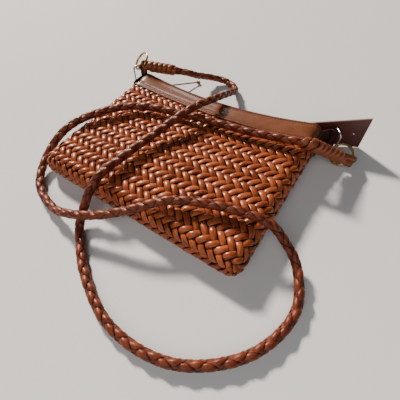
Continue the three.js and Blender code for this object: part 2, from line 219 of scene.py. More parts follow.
def path_mesh(points, closed=False, **directions):
    """A line of points as a mesh; each direction is stored on its points as a vector attribute."""
    count = len(points)
    edges = [(i, i + 1) for i in range(count - 1)]
    if closed:
        edges.append((count - 1, 0))
    mesh = bpy.data.meshes.new("path")
    mesh.from_pydata([tuple(point) for point in points], edges, [])
    for name, vectors in directions.items():
        stored = mesh.attributes.new(name, "FLOAT_VECTOR", "POINT")
        stored.data.foreach_set("vector", np.asarray(vectors, np.float32).ravel())
    return mesh


def grid_mesh(points, close_rows=False, close_columns=False):
    """A mesh of quads through a grid of points, with either direction closed to a ring."""
    rows, columns = points.shape[:2]
    faces = []
    for row in range(rows if close_rows else rows - 1):
        for column in range(columns if close_columns else columns - 1):
            next_row = (row + 1) % rows
            next_column = (column + 1) % columns
            corners = ((row, column), (row, next_column), (next_row, next_column), (next_row, column))
            faces.append([r * columns + c for r, c in corners])
    mesh = bpy.data.meshes.new("grid")
    mesh.from_pydata(points.reshape(-1, 3).tolist(), [], faces)
    return mesh


def closed_up(mesh, merge=1e-4):
    """Merges doubles, fills open rims and turns all faces outwards."""
    work = bmesh.new()
    work.from_mesh(mesh)
    bmesh.ops.remove_doubles(work, verts=work.verts, dist=merge)
    rims = [edge for edge in work.edges if edge.is_boundary]
    if rims:
        bmesh.ops.holes_fill(work, edges=rims, sides=0)
    bmesh.ops.recalc_face_normals(work, faces=work.faces)
    for face in work.faces:
        face.smooth = True
    work.to_mesh(mesh)
    work.free()
    return mesh


def piece(name, mesh, stands_for=(), material=None, placed=False):
    """Makes a finished mesh a piece of the bag that rides on its body."""
    if not placed:
        mesh.transform(TO_ROW)
    if material is not None:
        mesh.materials.clear()
        mesh.materials.append(material)
        mesh.polygons.foreach_set("material_index", [0] * len(mesh.polygons))
    made = linked(name, mesh)
    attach(made, "root")
    if stands_for:
        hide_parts(*stands_for)
    print(f"{name}: {len(mesh.polygons)} faces")
    return made


# %% [markdown]
# ## What all the leather shares
# Leather has a fine grain of pores and creases, and it is never one colour. Two shader groups hold what
# more than one finish uses. The grain group gives a height for a Bump node and a mottled mask. The cut
# edge group takes how far across and along a strip a point lies and gives a mask of its edges. A finish
# colours them dark, partly for the burnished edge and partly as painted shade in the grooves between
# strips, or pale, as a painted highlight on the tab.

# %% The grain group
PORE_SIZE = 0.0009  # metres between pores
PORE_DEPTH = 0.6  # for a crease of depth one
CREASE_SHARE = 0.35  # creases for each pore
MOTTLE_SIZE = 0.011  # metres between lighter and darker patches
STREAK_ALONG = 0.14  # streaks to a millimetre along a strip
STREAK_ACROSS = 2.6  # streaks from the middle of a strip to its edge
STREAK_SPREAD = 60.0  # how far apart two strips lie in the pattern
FLOAT_REACH = 7.5  # millimetres from the middle of a strip's float to its end


def attribute(tree, name):
    return Field(tree, node(tree, "ShaderNodeAttribute", attribute_name=name).outputs["Fac"])


def grain_group():
    tree, given, result = new_group(
        "ShaderNodeTree", "Leather grain",
        [("Pore size", "Float", PORE_SIZE), ("Mottle size", "Float", MOTTLE_SIZE)],
        [("Height", "Float"), ("Mottle", "Float"), ("Streak", "Float")])
    place = node(tree, "ShaderNodeTexCoord").outputs["Object"]
    fine = Field(tree, given["Pore size"]).math("POWER", -1.0)
    broad = Field(tree, given["Mottle size"]).math("POWER", -1.0)
    pores = node(tree, "ShaderNodeTexVoronoi", {"Vector": place, "Scale": fine}, feature="SMOOTH_F1")
    creases = node(tree, "ShaderNodeTexNoise", {
        "Vector": place, "Scale": fine * CREASE_SHARE, "Detail": 4.0})
    patches = node(tree, "ShaderNodeTexNoise", {"Vector": place, "Scale": broad, "Detail": 3.0})
    height = Field(tree, pores.outputs["Distance"]) * PORE_DEPTH + Field(tree, creases.outputs["Fac"])
    plug(tree, result["Height"], height)
    strip = vector(tree, X=attribute(tree, "along") * STREAK_ALONG,
                   Y=attribute(tree, "across") * STREAK_ACROSS, Z=attribute(tree, "tone") * STREAK_SPREAD)
    streaks = node(tree, "ShaderNodeTexNoise", {"Vector": strip, "Scale": 1.0, "Detail": 3.0})
    plug(tree, result["Mottle"], patches.outputs["Fac"])
    plug(tree, result["Streak"], streaks.outputs["Fac"])
    return tree


GRAIN = grain_group()
print("shader group:", GRAIN.name)

# %% The cut edge group
# The edge that starts here is partly the burnished cut edge and partly painted shade, between strips and
# where a float dives under its neighbour
SIDE_FROM = 0.7  # share of the way from the middle of a strip to its side where the edge begins
END_FROM = 0.75  # and of the way to the end of its float
EDGE_SOFTNESS = 0.25


def edge_group():
    tree, given, result = new_group(
        "ShaderNodeTree", "Edge burnish and painted light",
        [("Across", "Float", 0.0), ("Along", "Float", 0.0), ("Side from", "Float", SIDE_FROM),
         ("End from", "Float", END_FROM), ("Softness", "Float", EDGE_SOFTNESS)],
        [("Edge", "Float")])
    edges = []
    for place, start in (("Across", "Side from"), ("Along", "End from")):
        reach = Field(tree, given[place]).math("ABSOLUTE")
        edges.append((reach - Field(tree, given[start])) / Field(tree, given["Softness"]))
    plug(tree, result["Edge"], edges[0].math("MAXIMUM", edges[1]).clamped())
    return tree


EDGES = edge_group()
print("shader group:", EDGES.name)

# %% [markdown]
# ## Finishes
# Every leather finish is one recipe with its own colours: a dark and a light tone mixed by the mottle,
# an edge colour where the piece has strips or marked edges, and a roughness that follows the grain. The
# edge colour is partly the burnished cut edge and partly painted shade in the grooves between strips; on
# the tab it is a painted highlight. The strips of the weave and of the braid carry three attributes:
# across, along and tone. A piece without them reads zero there.

# %% The leather recipe
EVEN = 0.5  # the middle of a noise
TONE = {"middle": 0.45, "mottle": 1.3, "streak": 1.5}  # what makes the colour darker or lighter
ROUGH = {"mottle": 0.16, "streak": 0.2, "edge": 0.15}  # what makes the surface rougher
GRAIN_DEPTH = 0.0004  # metres
COAT_ROUGHNESS = 0.12


def shader_material(name):
    """An empty material with its Principled shader, ready for nodes."""
    material = bpy.data.materials.new(name)
    material.use_nodes = True
    shader = material.node_tree.nodes["Principled BSDF"]
    return material, material.node_tree, shader


def blend(tree, factor, first, second):
    """Mixes two colours."""
    made = node(tree, "ShaderNodeMix", data_type="RGBA")
    plug(tree, made.inputs[0], factor)
    plug(tree, made.inputs[6], first)
    plug(tree, made.inputs[7], second)
    return made.outputs[2]


def leather(name, dark, light, edge_burnish_and_painted_light, gloss, bump, coat=0.0, edge_from=0.8, glint=(1, 1, 1, 1)):
    material, tree, shader = shader_material(name)
    grain = node(tree, "ShaderNodeGroup", node_tree=GRAIN)
    mottle = Field(tree, grain.outputs["Mottle"]) - EVEN
    streak = Field(tree, grain.outputs["Streak"]) - EVEN
    tone = mottle * TONE["mottle"] + streak * TONE["streak"] + TONE["middle"] + attribute(tree, "tone")
    colour = blend(tree, tone.clamped(), dark, light)
    edge = node(tree, "ShaderNodeGroup", node_tree=EDGES)
    plug(tree, edge.inputs["Across"], attribute(tree, "across"))
    plug(tree, edge.inputs["Along"], attribute(tree, "along") / FLOAT_REACH)
    plug(tree, edge.inputs["Side from"], edge_from)
    # The edge colour: burnished edge and painted shade in the grooves, or on the tab a painted highlight
    colour = blend(tree, edge.outputs["Edge"], colour, edge_burnish_and_painted_light)
    plug(tree, shader.inputs["Base Color"], colour)
    rough = mottle * ROUGH["mottle"] + streak * ROUGH["streak"] + gloss
    rough = rough + Field(tree, edge.outputs["Edge"]) * ROUGH["edge"]
    plug(tree, shader.inputs["Roughness"], rough)
    raised = node(tree, "ShaderNodeBump", {"Height": grain.outputs["Height"], "Strength": bump})
    raised.inputs["Distance"].default_value = GRAIN_DEPTH
    plug(tree, shader.inputs["Normal"], raised.outputs["Normal"])
    shader.inputs["Specular Tint"].default_value = glint
    shader.inputs["Coat Weight"].default_value = coat
    shader.inputs["Coat Roughness"].default_value = COAT_ROUGHNESS
    return material


# %% The leathers
WARM_GLINT = (1, 0.55, 0.40, 1)  # waxed leather tints its highlights
# The two painted-shade leathers below get this low shine, so that they show no sheen
DULL_SHINE = 0.03  # of leather that was never waxed

# The wide dark edges of the three laced leathers below are partly burnished edge and partly painted shade
# in the grooves where laces meet
WOVEN = leather("woven cognac leather", (0.162, 0.029, 0.010, 1), (0.445, 0.106, 0.034, 1),
                (0.020, 0.003, 0.001, 1), gloss=0.30, bump=0.2, edge_from=0.62, glint=WARM_GLINT)
STRAP = leather("braided strap leather", (0.075, 0.014, 0.007, 1), (0.22, 0.045, 0.017, 1),
                (0.020, 0.004, 0.005, 1), gloss=0.42, bump=0.25, edge_from=0.5, glint=WARM_GLINT)
THONG = leather("light whipping thong", (0.115, 0.024, 0.007, 1), (0.300, 0.066, 0.016, 1),
                (0.012, 0.003, 0.002, 1), gloss=0.38, bump=0.25, coat=0.1, edge_from=0.62,
                glint=(1, 0.6, 0.45, 1))
BAND = leather("smooth band leather", (0.125, 0.037, 0.014, 1), (0.205, 0.068, 0.027, 1),
               (0.05, 0.02, 0.012, 1), gloss=0.30, bump=0.10, coat=0.35)
# The tab's pale edge colour is a painted highlight on its cut edges
TAB = leather("mauve tab leather", (0.060, 0.010, 0.008, 1), (0.104, 0.020, 0.014, 1),
              (0.40, 0.25, 0.21, 1), gloss=0.46, bump=0.2, coat=0.10)
# Near-black colour: painted shade for the gaps between the floats
PAINTED_GAP_SHADE = leather("strip backs painted in shade", (0.014, 0.003, 0.001, 1), (0.040, 0.009, 0.004, 1),
                 (0.010, 0.004, 0.003, 1), gloss=0.75, bump=0.3)
# Near-black colour: painted shade, since the side loops lie in shadow at the corners
LOOP_LEATHER_PAINTED_SHADE = leather("loop leather painted in shade", (0.030, 0.013, 0.009, 1), (0.070, 0.030, 0.020, 1),
                       (0.02, 0.01, 0.007, 1), gloss=0.7, bump=0.3)
for dull in (PAINTED_GAP_SHADE, LOOP_LEATHER_PAINTED_SHADE):
    dull.node_tree.nodes["Principled BSDF"].inputs["Specular IOR Level"].default_value = DULL_SHINE
leathers = (WOVEN, STRAP, THONG, BAND, TAB, PAINTED_GAP_SHADE, LOOP_LEATHER_PAINTED_SHADE)
print("leathers:", ", ".join(made.name for made in leathers))

# %% [markdown]
# ## Metal, thread and cloth
# The rings are brass and the links and zip are steel, both a little brushed and tarnished, so their
# roughness and colour come from a noise. Thread is dark and dull. The zip's tape is a fine twill.

# %% Metal, thread and cloth
STAINS = 420.0  # to a metre
SCRATCHES = 2600.0
STAIN_ROUGH = 0.25  # stains are this much rougher than bright metal
SCRATCH_BUMP = 0.12
FINE_RELIEF = 0.0002  # metres
THREAD_ROUGH = 0.7
PLY_ROUGH = 0.15  # the tops of the plies are this much rougher
PLY_WAVER = 0.6
PLY_BUMP = 0.6


def metal(name, bright, dull, roughness):
    material, tree, shader = shader_material(name)
    place = node(tree, "ShaderNodeTexCoord").outputs["Object"]
    stain = node(tree, "ShaderNodeTexNoise", {"Vector": place, "Scale": STAINS, "Detail": 4.0})
    scratch = node(tree, "ShaderNodeTexNoise", {"Vector": place, "Scale": SCRATCHES, "Detail": 2.0})
    mask = Field(tree, stain.outputs["Fac"])
    plug(tree, shader.inputs["Base Color"], blend(tree, mask, bright, dull))
    plug(tree, shader.inputs["Roughness"], mask * STAIN_ROUGH + roughness)
    raised = node(tree, "ShaderNodeBump", {"Height": scratch.outputs["Fac"], "Strength": SCRATCH_BUMP})
    raised.inputs["Distance"].default_value = FINE_RELIEF
    plug(tree, shader.inputs["Normal"], raised.outputs["Normal"])
    shader.inputs["Metallic"].default_value = 1.0
    return material


def thread(name, dark, light, twist):
    material, tree, shader = shader_material(name)
    place = node(tree, "ShaderNodeTexCoord").outputs["Object"]
    plies = node(tree, "ShaderNodeTexWave", {"Vector": place, "Scale": twist, "Distortion": PLY_WAVER},
                 bands_direction="DIAGONAL")
    mask = plies.outputs["Fac"]
    plug(tree, shader.inputs["Base Color"], blend(tree, mask, dark, light))
    plug(tree, shader.inputs["Roughness"], Field(tree, mask) * PLY_ROUGH + THREAD_ROUGH)
    raised = node(tree, "ShaderNodeBump", {"Height": mask, "Strength": PLY_BUMP})
    raised.inputs["Distance"].default_value = FINE_RELIEF
    plug(tree, shader.inputs["Normal"], raised.outputs["Normal"])
    return material


BRASS = metal("brass", (0.62, 0.43, 0.16, 1), (0.42, 0.27, 0.10, 1), roughness=0.16)
STEEL = metal("steel wire", (0.62, 0.61, 0.58, 1), (0.40, 0.39, 0.37, 1), roughness=0.14)
THREAD = thread("dark thread", (0.018, 0.008, 0.006, 1), (0.06, 0.03, 0.022, 1), twist=900.0)
ZIP_CLOTH = thread("zip tape", (0.020, 0.011, 0.008, 1), (0.055, 0.030, 0.022, 1), twist=1300.0)
print("other finishes:", BRASS.name, STEEL.name, THREAD.name, ZIP_CLOTH.name, sep=", ")

# %% [markdown]
# ## Laces and floats
# A lace is a flat strip of leather. Its section is a circle that is squared, flattened and bent a little.
# Where laces are woven or braided, one sees short stretches of them that rise over a neighbour and dive
# under the next one. Such a stretch is called a float. A tree makes one float along an arched line and
# puts a copy of it on each point of a flat layout, so the weave and the braid need only say where their
# floats lie. No two floats are quite the same: each differs a little in size, in tone and in how it lies.

# %% The section of a lace and helpers for sweeps


def lace_profile(tree, width, thickness, hollow, sides, squareness):
    """The closed section of a lace: rounded corners, bent round the piece it lies on."""
    ring = node(tree, "GeometryNodeCurvePrimitiveCircle", {"Resolution": sides, "Radius": 1.0})
    place = node(tree, "GeometryNodeInputPosition").outputs["Position"]
    corner = node(tree, "ShaderNodeSeparateXYZ", {"Vector": place}).outputs
    across = Field(tree, corner["Y"])
    marked = node(tree, "GeometryNodeStoreNamedAttribute",
                  {"Geometry": ring.outputs["Curve"], "Name": "across", "Value": across})
    square = {}
    for axis in "XY":
        side = Field(tree, corner[axis])
        square[axis] = side.math("ABSOLUTE") ** squareness * side.math("SIGN")
    sideways = square["Y"] * width * 0.5
    outward = square["X"] * thickness * 0.5 - sideways * sideways * 0.5 / hollow
    moved = node(tree, "GeometryNodeSetPosition", {
        "Geometry": marked.outputs["Geometry"], "Position": vector(tree, X=outward, Y=sideways)})
    return moved.outputs["Geometry"]


def swept(tree, curve, profile):
    made = node(tree, "GeometryNodeCurveToMesh",
                {"Curve": curve, "Profile Curve": profile, "Fill Caps": True})
    return made.outputs["Mesh"]


def faced(tree, curve, outward):
    """Turns a curve's normals to a direction, so that a lace lies flat."""
    made = node(tree, "GeometryNodeSetCurveNormal", {"Curve": curve, "Normal": outward}, mode="FREE")
    return made.outputs["Curve"]


def named_vector(tree, name):
    made = node(tree, "GeometryNodeInputNamedAttribute", {"Name": name}, data_type="FLOAT_VECTOR")
    return made.outputs["Attribute"]


def stored(tree, geometry, name, value):
    made = node(tree, "GeometryNodeStoreNamedAttribute", {"Geometry": geometry, "Name": name})
    plug(tree, made.inputs["Value"], value)
    return made.outputs["Geometry"]


def finished_geometry(tree, geometry, material, output):
    """Ends a tree: real geometry, smooth faces and a material."""
    real = node(tree, "GeometryNodeRealizeInstances", {"Geometry": geometry}).outputs["Geometry"]
    smooth = node(tree, "GeometryNodeSetShadeSmooth", {"Geometry": real}).outputs["Geometry"]
    made = node(tree, "GeometryNodeSetMaterial", {"Geometry": smooth, "Material": material})
    plug(tree, output, made.outputs["Geometry"])


# %% The tree of the floats
FLOAT_SIZES = {"Reach": FLOAT_REACH, "Width": 6.2, "Thickness": 1.3, "Rise": 1.1, "Drop": 2.3,
               "Hollow": 9.0}
FLOAT_SQUARENESS = 0.48
ARCH_ROUND = 0.75  # share of the arch that is a parabola; the rest bends down more sharply at the ends


def float_tree():
    tree, given, result = new_group(
        "GeometryNodeTree", "Floats on points",
        [("Points", "Geometry", None)] + [(label, "Float", start) for label, start in FLOAT_SIZES.items()]
        + [("Spine", "Int", 7), ("Sides", "Int", 8), ("Material", "Material", None)],
        [("Floats", "Geometry")])
    size = {label: Field(tree, given[label]) for label in FLOAT_SIZES}
    line = node(tree, "GeometryNodeCurvePrimitiveLine", {
        "Start": vector(tree, X=size["Reach"] * -1.0), "End": vector(tree, X=size["Reach"])})
    line = node(tree, "GeometryNodeResampleCurve", {
        "Curve": line.outputs["Curve"], "Count": given["Spine"]}).outputs["Curve"]
    place = node(tree, "GeometryNodeInputPosition").outputs["Position"]
    share = Field(tree, node(tree, "ShaderNodeSeparateXYZ", {"Vector": place}).outputs["X"]) / size["Reach"]
    line = stored(tree, line, "along", share * size["Reach"])
    bow = share * share
    arch = size["Rise"] - (bow * ARCH_ROUND + bow * bow * (1 - ARCH_ROUND)) * size["Drop"]
    line = node(tree, "GeometryNodeSetPosition", {
        "Geometry": line, "Offset": vector(tree, Z=arch)}).outputs["Geometry"]
    line = faced(tree, line, (0.0, 0.0, 1.0))
    profile = lace_profile(tree, size["Width"], size["Thickness"], size["Hollow"], given["Sides"],
                           FLOAT_SQUARENESS)
    turned = node(tree, "FunctionNodeEulerToRotation", {"Euler": named_vector(tree, "turn")})
    copies = node(tree, "GeometryNodeInstanceOnPoints", {
        "Points": given["Points"], "Instance": swept(tree, line, profile),
        "Rotation": turned.outputs["Rotation"], "Scale": named_vector(tree, "size")}).outputs["Instances"]
    finished_geometry(tree, copies, given["Material"], result["Floats"])
    return tree


FLOATS = float_tree()
print("geometry tree:", FLOATS.name)

# %% Floats on a layout
EVEN_LIE = (0.0, 0.0, 0.022)  # radians: how much floats differ in roll, pitch and slant
THINNER = 0.06  # how much narrower a float may be than the others
LOWER = 0.1
HIGHER = 0.06
TONE_SPREAD = 0.16
rng = np.random.default_rng(20)


def floats(centres, slants, unevenness, material, lie=EVEN_LIE, **sizes):
    """Floats on a flat layout, each turned by its slant and a little uneven in size, lie and tone."""
    count = len(centres)
    turns = rng.normal(0, 1, (count, 3)) * lie * unevenness
    turns[:, 2] += slants
    widths = rng.uniform(1 - THINNER * unevenness, 1.0, count)
    heights = rng.uniform(1 - LOWER * unevenness, 1 + HIGHER * unevenness, count)
    scales = np.column_stack([np.ones(count), widths, heights])
    layout = path_mesh(centres, turn=turns, size=scales)
    tones = layout.attributes.new("tone", "FLOAT", "POINT")
    tones.data.foreach_set("value", rng.normal(0, TONE_SPREAD * unevenness, count).astype(np.float32))
    return grown(layout, FLOATS, {"Material": material} | sizes)


def bent(mesh, rule):
    """Moves all points of a mesh by a rule that takes and gives an array of points."""
    flat = np.empty(len(mesh.vertices) * 3)
    mesh.vertices.foreach_get("co", flat)
    mesh.vertices.foreach_set("co", rule(flat.reshape(-1, 3)).ravel())
    mesh.update()
    return mesh


# %% [markdown]
# ## A round rod
# Rings, links, the zip's thong and the core of a whipping are round in section and differ only in their
# path. One tree sweeps a circle along any path. Like the later trees that follow a path, it takes the
# path's mesh, some sizes and a material.

# %% The tree of the round rod


def path_group(name, sizes, output):
    """A geometry group for something along a path, with the path as a curve."""
    tree, given, result = new_group(
        "GeometryNodeTree", name,
        [("Path", "Geometry", None)] + sizes + [("Material", "Material", None)], [(output, "Geometry")])
    curve = node(tree, "GeometryNodeMeshToCurve", {"Mesh": given["Path"]}).outputs["Curve"]
    return tree, given, result[output], curve


def rod_tree():
    sizes = [("Radius", "Float", 1.0), ("Sides", "Int", 12)]
    tree, given, result, curve = path_group("Round rod", sizes, "Rod")
    ring = node(tree, "GeometryNodeCurvePrimitiveCircle",
                {"Resolution": given["Sides"], "Radius": given["Radius"]}).outputs["Curve"]
    finished_geometry(tree, swept(tree, curve, ring), given["Material"], result)
    return tree


ROD = rod_tree()


def rod(line, radius, material, closed=False, sides=12):
    sizes = {"Radius": radius, "Sides": sides, "Material": material}
    return closed_up(grown(path_mesh(line, closed), ROD, sizes))


def combined(meshes):
    """One mesh of several that share a material."""
    work = bmesh.new()
    for mesh in meshes:
        work.from_mesh(mesh)
    result = meshes[0].copy()
    work.to_mesh(result)
    work.free()
    return result


print("geometry tree:", ROD.name)

# %% [markdown]
# ## The strap's way
# The strap is one round braid, 1.3 m long. It leaves the whipping at the left corner of the mouth,
# crosses the bag, makes a wide loop on the ground in front, comes back over the bottom edge, goes round
# the left side and crosses the bag once more to the whipping at the right corner. The list repeats the
# CAD route's points. A centripetal Catmull-Rom line runs through them, because it doesn't overshoot where
# points lie close.

# %% The strap's line
STRAP_PITCH = 30.0  # length in which a strand goes once round the braid
STRAP_LEFT = [(-82.61, 199.42, 30.06), (-74.50, 203.20, 29.16)]  # out of the left whipping
STRAP_RIGHT = [(109.30, 149.46, 37.76), (115.23, 154.54, 33.29)]  # into the right one
STRAP_ROUTE = [
    (-67.5, 212.5, 23.4), (-64, 227, 15.8), (-56.5, 240.5, 9.2), (-42, 247, 5.8),
    (-27, 242.5, 5.4), (-17, 228.5, 9.8), (-12.5, 206, 20), (-10, 172, 33.5),
    (-15, 128, 43.4), (-24.5, 86, 39.2), (-33, 32, 36.2), (-35.5, 11, 34.2),
    (-36.5, -3, 25.8), (-36, -16, 13.8), (-31, -28, 7.2), (-19, -39.5, 5.3),
    (6, -58, 5), (54, -77, 5), (106, -71, 5), (148, -36, 5),
    (161.5, 8, 5.4), (147.5, 39.5, 10.5), (130, 49, 21), (113, 50, 31.8),
    (40, 25, 35.8), (9, -3, 29.8), (-14, -18, 22.7), (-40, -29, 18),
    (-66, -29.5, 9.2), (-105, -15, 5.2), (-123.5, 14, 12.5), (-120.5, 41, 27),
    (-107, 68, 34.6), (-78, 107, 34.4), (-15, 128, 33), (50, 137, 35),
]


def smooth_line(points, steps=16):
    """A centripetal Catmull-Rom line through points."""
    points = np.asarray(points, float)
    padded = np.vstack([2 * points[0] - points[1], points, 2 * points[-1] - points[-2]])
    line = []
    for a, b, c, d in zip(padded, padded[1:], padded[2:], padded[3:]):
        gaps = [np.linalg.norm(step) ** 0.5 for step in (b - a, c - b, d - c)]
        t0, t1, t2, t3 = np.cumsum([0.0] + gaps)
        t = np.linspace(t1, t2, steps, endpoint=False)[:, None]
        ab = a + (b - a) * (t - t0) / (t1 - t0)
        bc = b + (c - b) * (t - t1) / (t2 - t1)
        cd = c + (d - c) * (t - t2) / (t3 - t2)
        abc = ab + (bc - ab) * (t - t0) / (t2 - t0)
        bcd = bc + (cd - bc) * (t - t1) / (t3 - t1)
        line.append(abc + (bcd - abc) * (t - t1) / (t2 - t1))
    return np.vstack(line + [points[-1:]])


def stations(line):
    """The distance of each point of a line from its start."""
    return np.concatenate([[0.0], np.cumsum(np.linalg.norm(np.diff(line, axis=0), axis=1))])


def line_length(line):
    return float(stations(line)[-1])


def at_stations(line, ways, distances):
    """Points, or whatever else lies along a line, at given distances from its start."""
    return np.column_stack([np.interp(distances, stations(line), ways[:, axis]) for axis in range(3)])


strap_line = smooth_line(STRAP_LEFT + STRAP_ROUTE + STRAP_RIGHT)
strap_length = line_length(strap_line) * METRES
print(f"strap: {strap_length:.3f} m")

# %% [markdown]
# ## A round braid of four laces
# In a round braid of four, two laces wind one way round the middle and two the other way, and each goes
# over one and under one. Cut open along its length and laid flat, such a tube shows four columns of
# floats, which slant one way and the other by turns. So the braid is laid out flat, and a rule rolls it
# round the strap's line. A plain dark rod inside closes the gaps where four floats meet.

# %% The braid
BRAID_COLUMNS = 4
BRAID_ROLL = 4.3  # radius at which the flat layout keeps its true width
BRAID_BASE = 3.9  # radius of the plane that the floats rise from
BRAID_CORE = 3.3
BRAID_LOOKS_AT = CAMERA_AT  # a seam between two columns is turned to this point all along the strap
BRAID_UNEVEN = 0.5  # beside the floats of the weave
HIDDEN_END = 10.0  # the braid goes on this far inside each whipping
BRAID_FLOAT = {"Width": 8.8, "Thickness": 1.4, "Rise": 0.1, "Drop": 1.7, "Hollow": 10.5,
               "Spine": 7, "Sides": 10}


def beyond(line, length):
    """A line made longer at both ends, straight on."""
    first = line[0] + (line[0] - line[1]) * length / np.linalg.norm(line[0] - line[1])
    last = line[-1] + (line[-1] - line[-2]) * length / np.linalg.norm(line[-1] - line[-2])
    return np.vstack([first, line, last])


def unit_rows(vectors):
    return vectors / np.linalg.norm(vectors, axis=1)[:, None]


def braid_layout(length):
    """Centres and slants of the floats, along the strap by X and round it by Y."""
    column_pitch = 2 * math.pi * BRAID_ROLL / BRAID_COLUMNS
    step_length = STRAP_PITCH / BRAID_COLUMNS
    slant = math.atan2(column_pitch, step_length)
    centres = []
    slants = []
    for step in range(int(length / step_length)):
        for column in range(step % 2, BRAID_COLUMNS, 2):
            centres.append((step * step_length, (column + 0.5) * column_pitch, 0.0))
            slants.append(slant if column % 2 == 0 else -slant)
    return np.array(centres), np.array(slants)


def rolled(line):
    """The rule that rolls a flat layout round a line."""
    ahead = unit_rows(np.gradient(line, stations(line), axis=0))
    aside = unit_rows(np.cross(ahead, np.array(BRAID_LOOKS_AT) - line))
    facing = np.cross(aside, ahead)

    def rule(flat):
        along, around, height = flat.T
        middle, up, side = (at_stations(line, ways, along) for ways in (line, facing, aside))
        turn = (around / BRAID_ROLL)[:, None]
        return middle + (BRAID_BASE + height)[:, None] * (np.cos(turn) * up + np.sin(turn) * side)

    return rule


braid_line = beyond(strap_line, HIDDEN_END)
braid = floats(*braid_layout(line_length(braid_line)), BRAID_UNEVEN, STRAP, **BRAID_FLOAT)
core = rod(braid_line, BRAID_CORE, STRAP, sides=8)
strap_mesh = closed_up(combined([bent(braid, rolled(braid_line)), core]))
strap = piece("strap_braid", strap_mesh, ["strap"], STRAP)

# %% [markdown]
# ## The strap's ends
# Each end of the strap goes round a ring and is bound to itself by a leather thong wound in slanting
# turns. The eye is two wide laces side by side, and the thong is two more, wound as helices. At the right
# corner the whipping goes on along the strap. The lines of the laces are worked out here, with the way
# outwards stored on each point, and a small tree sweeps a flat lace along them.

# %% The flat lace tree
LACE_SIDES = 10
LACE_SQUARENESS = 0.6


def flat_lace_tree():
    sizes = [("Width", "Float", 6.0), ("Thickness", "Float", 1.6), ("Hollow", "Float", 20.0)]
    tree, given, result, curve = path_group("Flat lace", sizes, "Lace")
    width, thickness, hollow = (Field(tree, given[label]) for label, _, _ in sizes)
    curve = faced(tree, curve, named_vector(tree, "outward"))
    profile = lace_profile(tree, width, thickness, hollow, LACE_SIDES, LACE_SQUARENESS)
    finished_geometry(tree, swept(tree, curve, profile), given["Material"], result)
    return tree


FLAT_LACE = flat_lace_tree()
print("geometry tree:", FLAT_LACE.name)

# %% Eyes and whippings
EYE_BEND = 3.6  # radius of the bend round the ring
EYE_LEG = 2.6  # half the distance of the legs where they go into the whipping
EYE_REACH = 15.0
EYE_SPREAD = 3.0  # each of the two laces lies this far along the ring's wire
EYE_CLOSE = 0.8  # share of the spread that is left in the whipping
EYE_POINTS = 9
EYE_STEPS = 6  # from one point to the next
EYE_LACE = {"Width": 6.6, "Thickness": 3.4, "Hollow": 7.0}
WHIP_RADIUS = 5.8
WHIP_CORE = 5.4
CORE_INSET = 0.6  # the core starts this far inside the whipping
CORE_POINTS = 16
WHIP_STARTS = 2  # laces wound side by side
WHIP_LEAD = 12.6  # length of one turn of a lace
WHIP_POINTS = 4  # to a radian
WHIP_LACE = {"Width": 6.6, "Thickness": 1.7, "Hollow": 14.0}
WHIP_TAPER = 2.4  # the last turn comes in by this much and ends inside the braid
TAPER_LENGTH = 10.0
RING_RADIUS = 11.5
RING_WIRE = 1.3

# Each ring by its centre and two directions in its plane, the way that the strap runs from it, and how far
# from the ring's wire the whipping starts and ends
RINGS = {
    "left": {"centre": (-135.343, 186.015, 34.897), "first": (0.7986, -0.6018, 0),
             "second": (0.4345, 0.5766, 0.6919), "way": (0.9, 0.42, -0.1), "whip": (5.5, 48.0)},
    "right": {"centre": (136.482, 186.267, 9.3), "first": (0.9217, -0.3879, 0),
              "second": (0.3057, 0.7263, 0.6157), "way": (-0.66, -0.565, 0.497), "whip": (11.0, 69.0)},
}


def unit(way):
    return np.asarray(way, float) / np.linalg.norm(way)


def eye_lace(ring, shift):
    """A lace round the ring's wire, shifted along the wire, with the way outwards at each point."""
    along = unit(ring["way"])
    first = np.array(ring["first"])
    second = np.array(ring["second"])
    turn = shift / RING_RADIUS
    hold = np.array(ring["centre"]) + RING_RADIUS * (math.cos(turn) * first + math.sin(turn) * second)
    inside = np.array(ring["centre"]) + RING_RADIUS * first + EYE_REACH * along
    side = unit(np.cross(along, second))
    bend = np.linspace(0, math.pi, EYE_POINTS)[:, None]
    outward = np.cos(bend) * side - np.sin(bend) * along
    round_wire = hold + EYE_BEND * outward
    feet = [inside + sign * EYE_LEG * side + EYE_CLOSE * shift * second for sign in (1, -1)]
    points = np.vstack([feet[0], round_wire, feet[1]])
    ways = np.vstack([side, outward, -side])
    return smooth_line(points, EYE_STEPS), smooth_line(ways, EYE_STEPS)


def whip_axis(side_name):
    """The middle line of a whipping, from the ring's wire to the strap and on along the strap."""
    ring = RINGS[side_name]
    hold = np.array(ring["centre"]) + RING_RADIUS * np.array(ring["first"])
    return np.vstack([hold, strap_line if side_name == "left" else strap_line[::-1]])


def whipping_lace(axis, side, whip_from, whip_to, start):
    """A helix of thong round the axis, with the way outwards at each point."""
    inset = WHIP_LACE["Width"] / 2
    climb = whip_to - whip_from - 2 * inset
    last = 2 * math.pi * climb / WHIP_LEAD
    turn = np.linspace(0, last, int(WHIP_POINTS * last))[:, None]
    rise = whip_from + inset + climb * turn / last
    ahead = unit_rows(at_stations(axis, np.gradient(axis, stations(axis), axis=0), rise[:, 0]))
    aside = unit_rows(side - (ahead @ side)[:, None] * ahead)
    angle = turn + 2 * math.pi * start / WHIP_STARTS
    outward = np.cos(angle) * aside - np.sin(angle) * np.cross(ahead, aside)
    radius = WHIP_RADIUS - WHIP_TAPER * np.clip(1 - (whip_to - inset - rise) / TAPER_LENGTH, 0, 1) ** 2
    return at_stations(axis, axis, rise[:, 0]) + radius * outward, outward


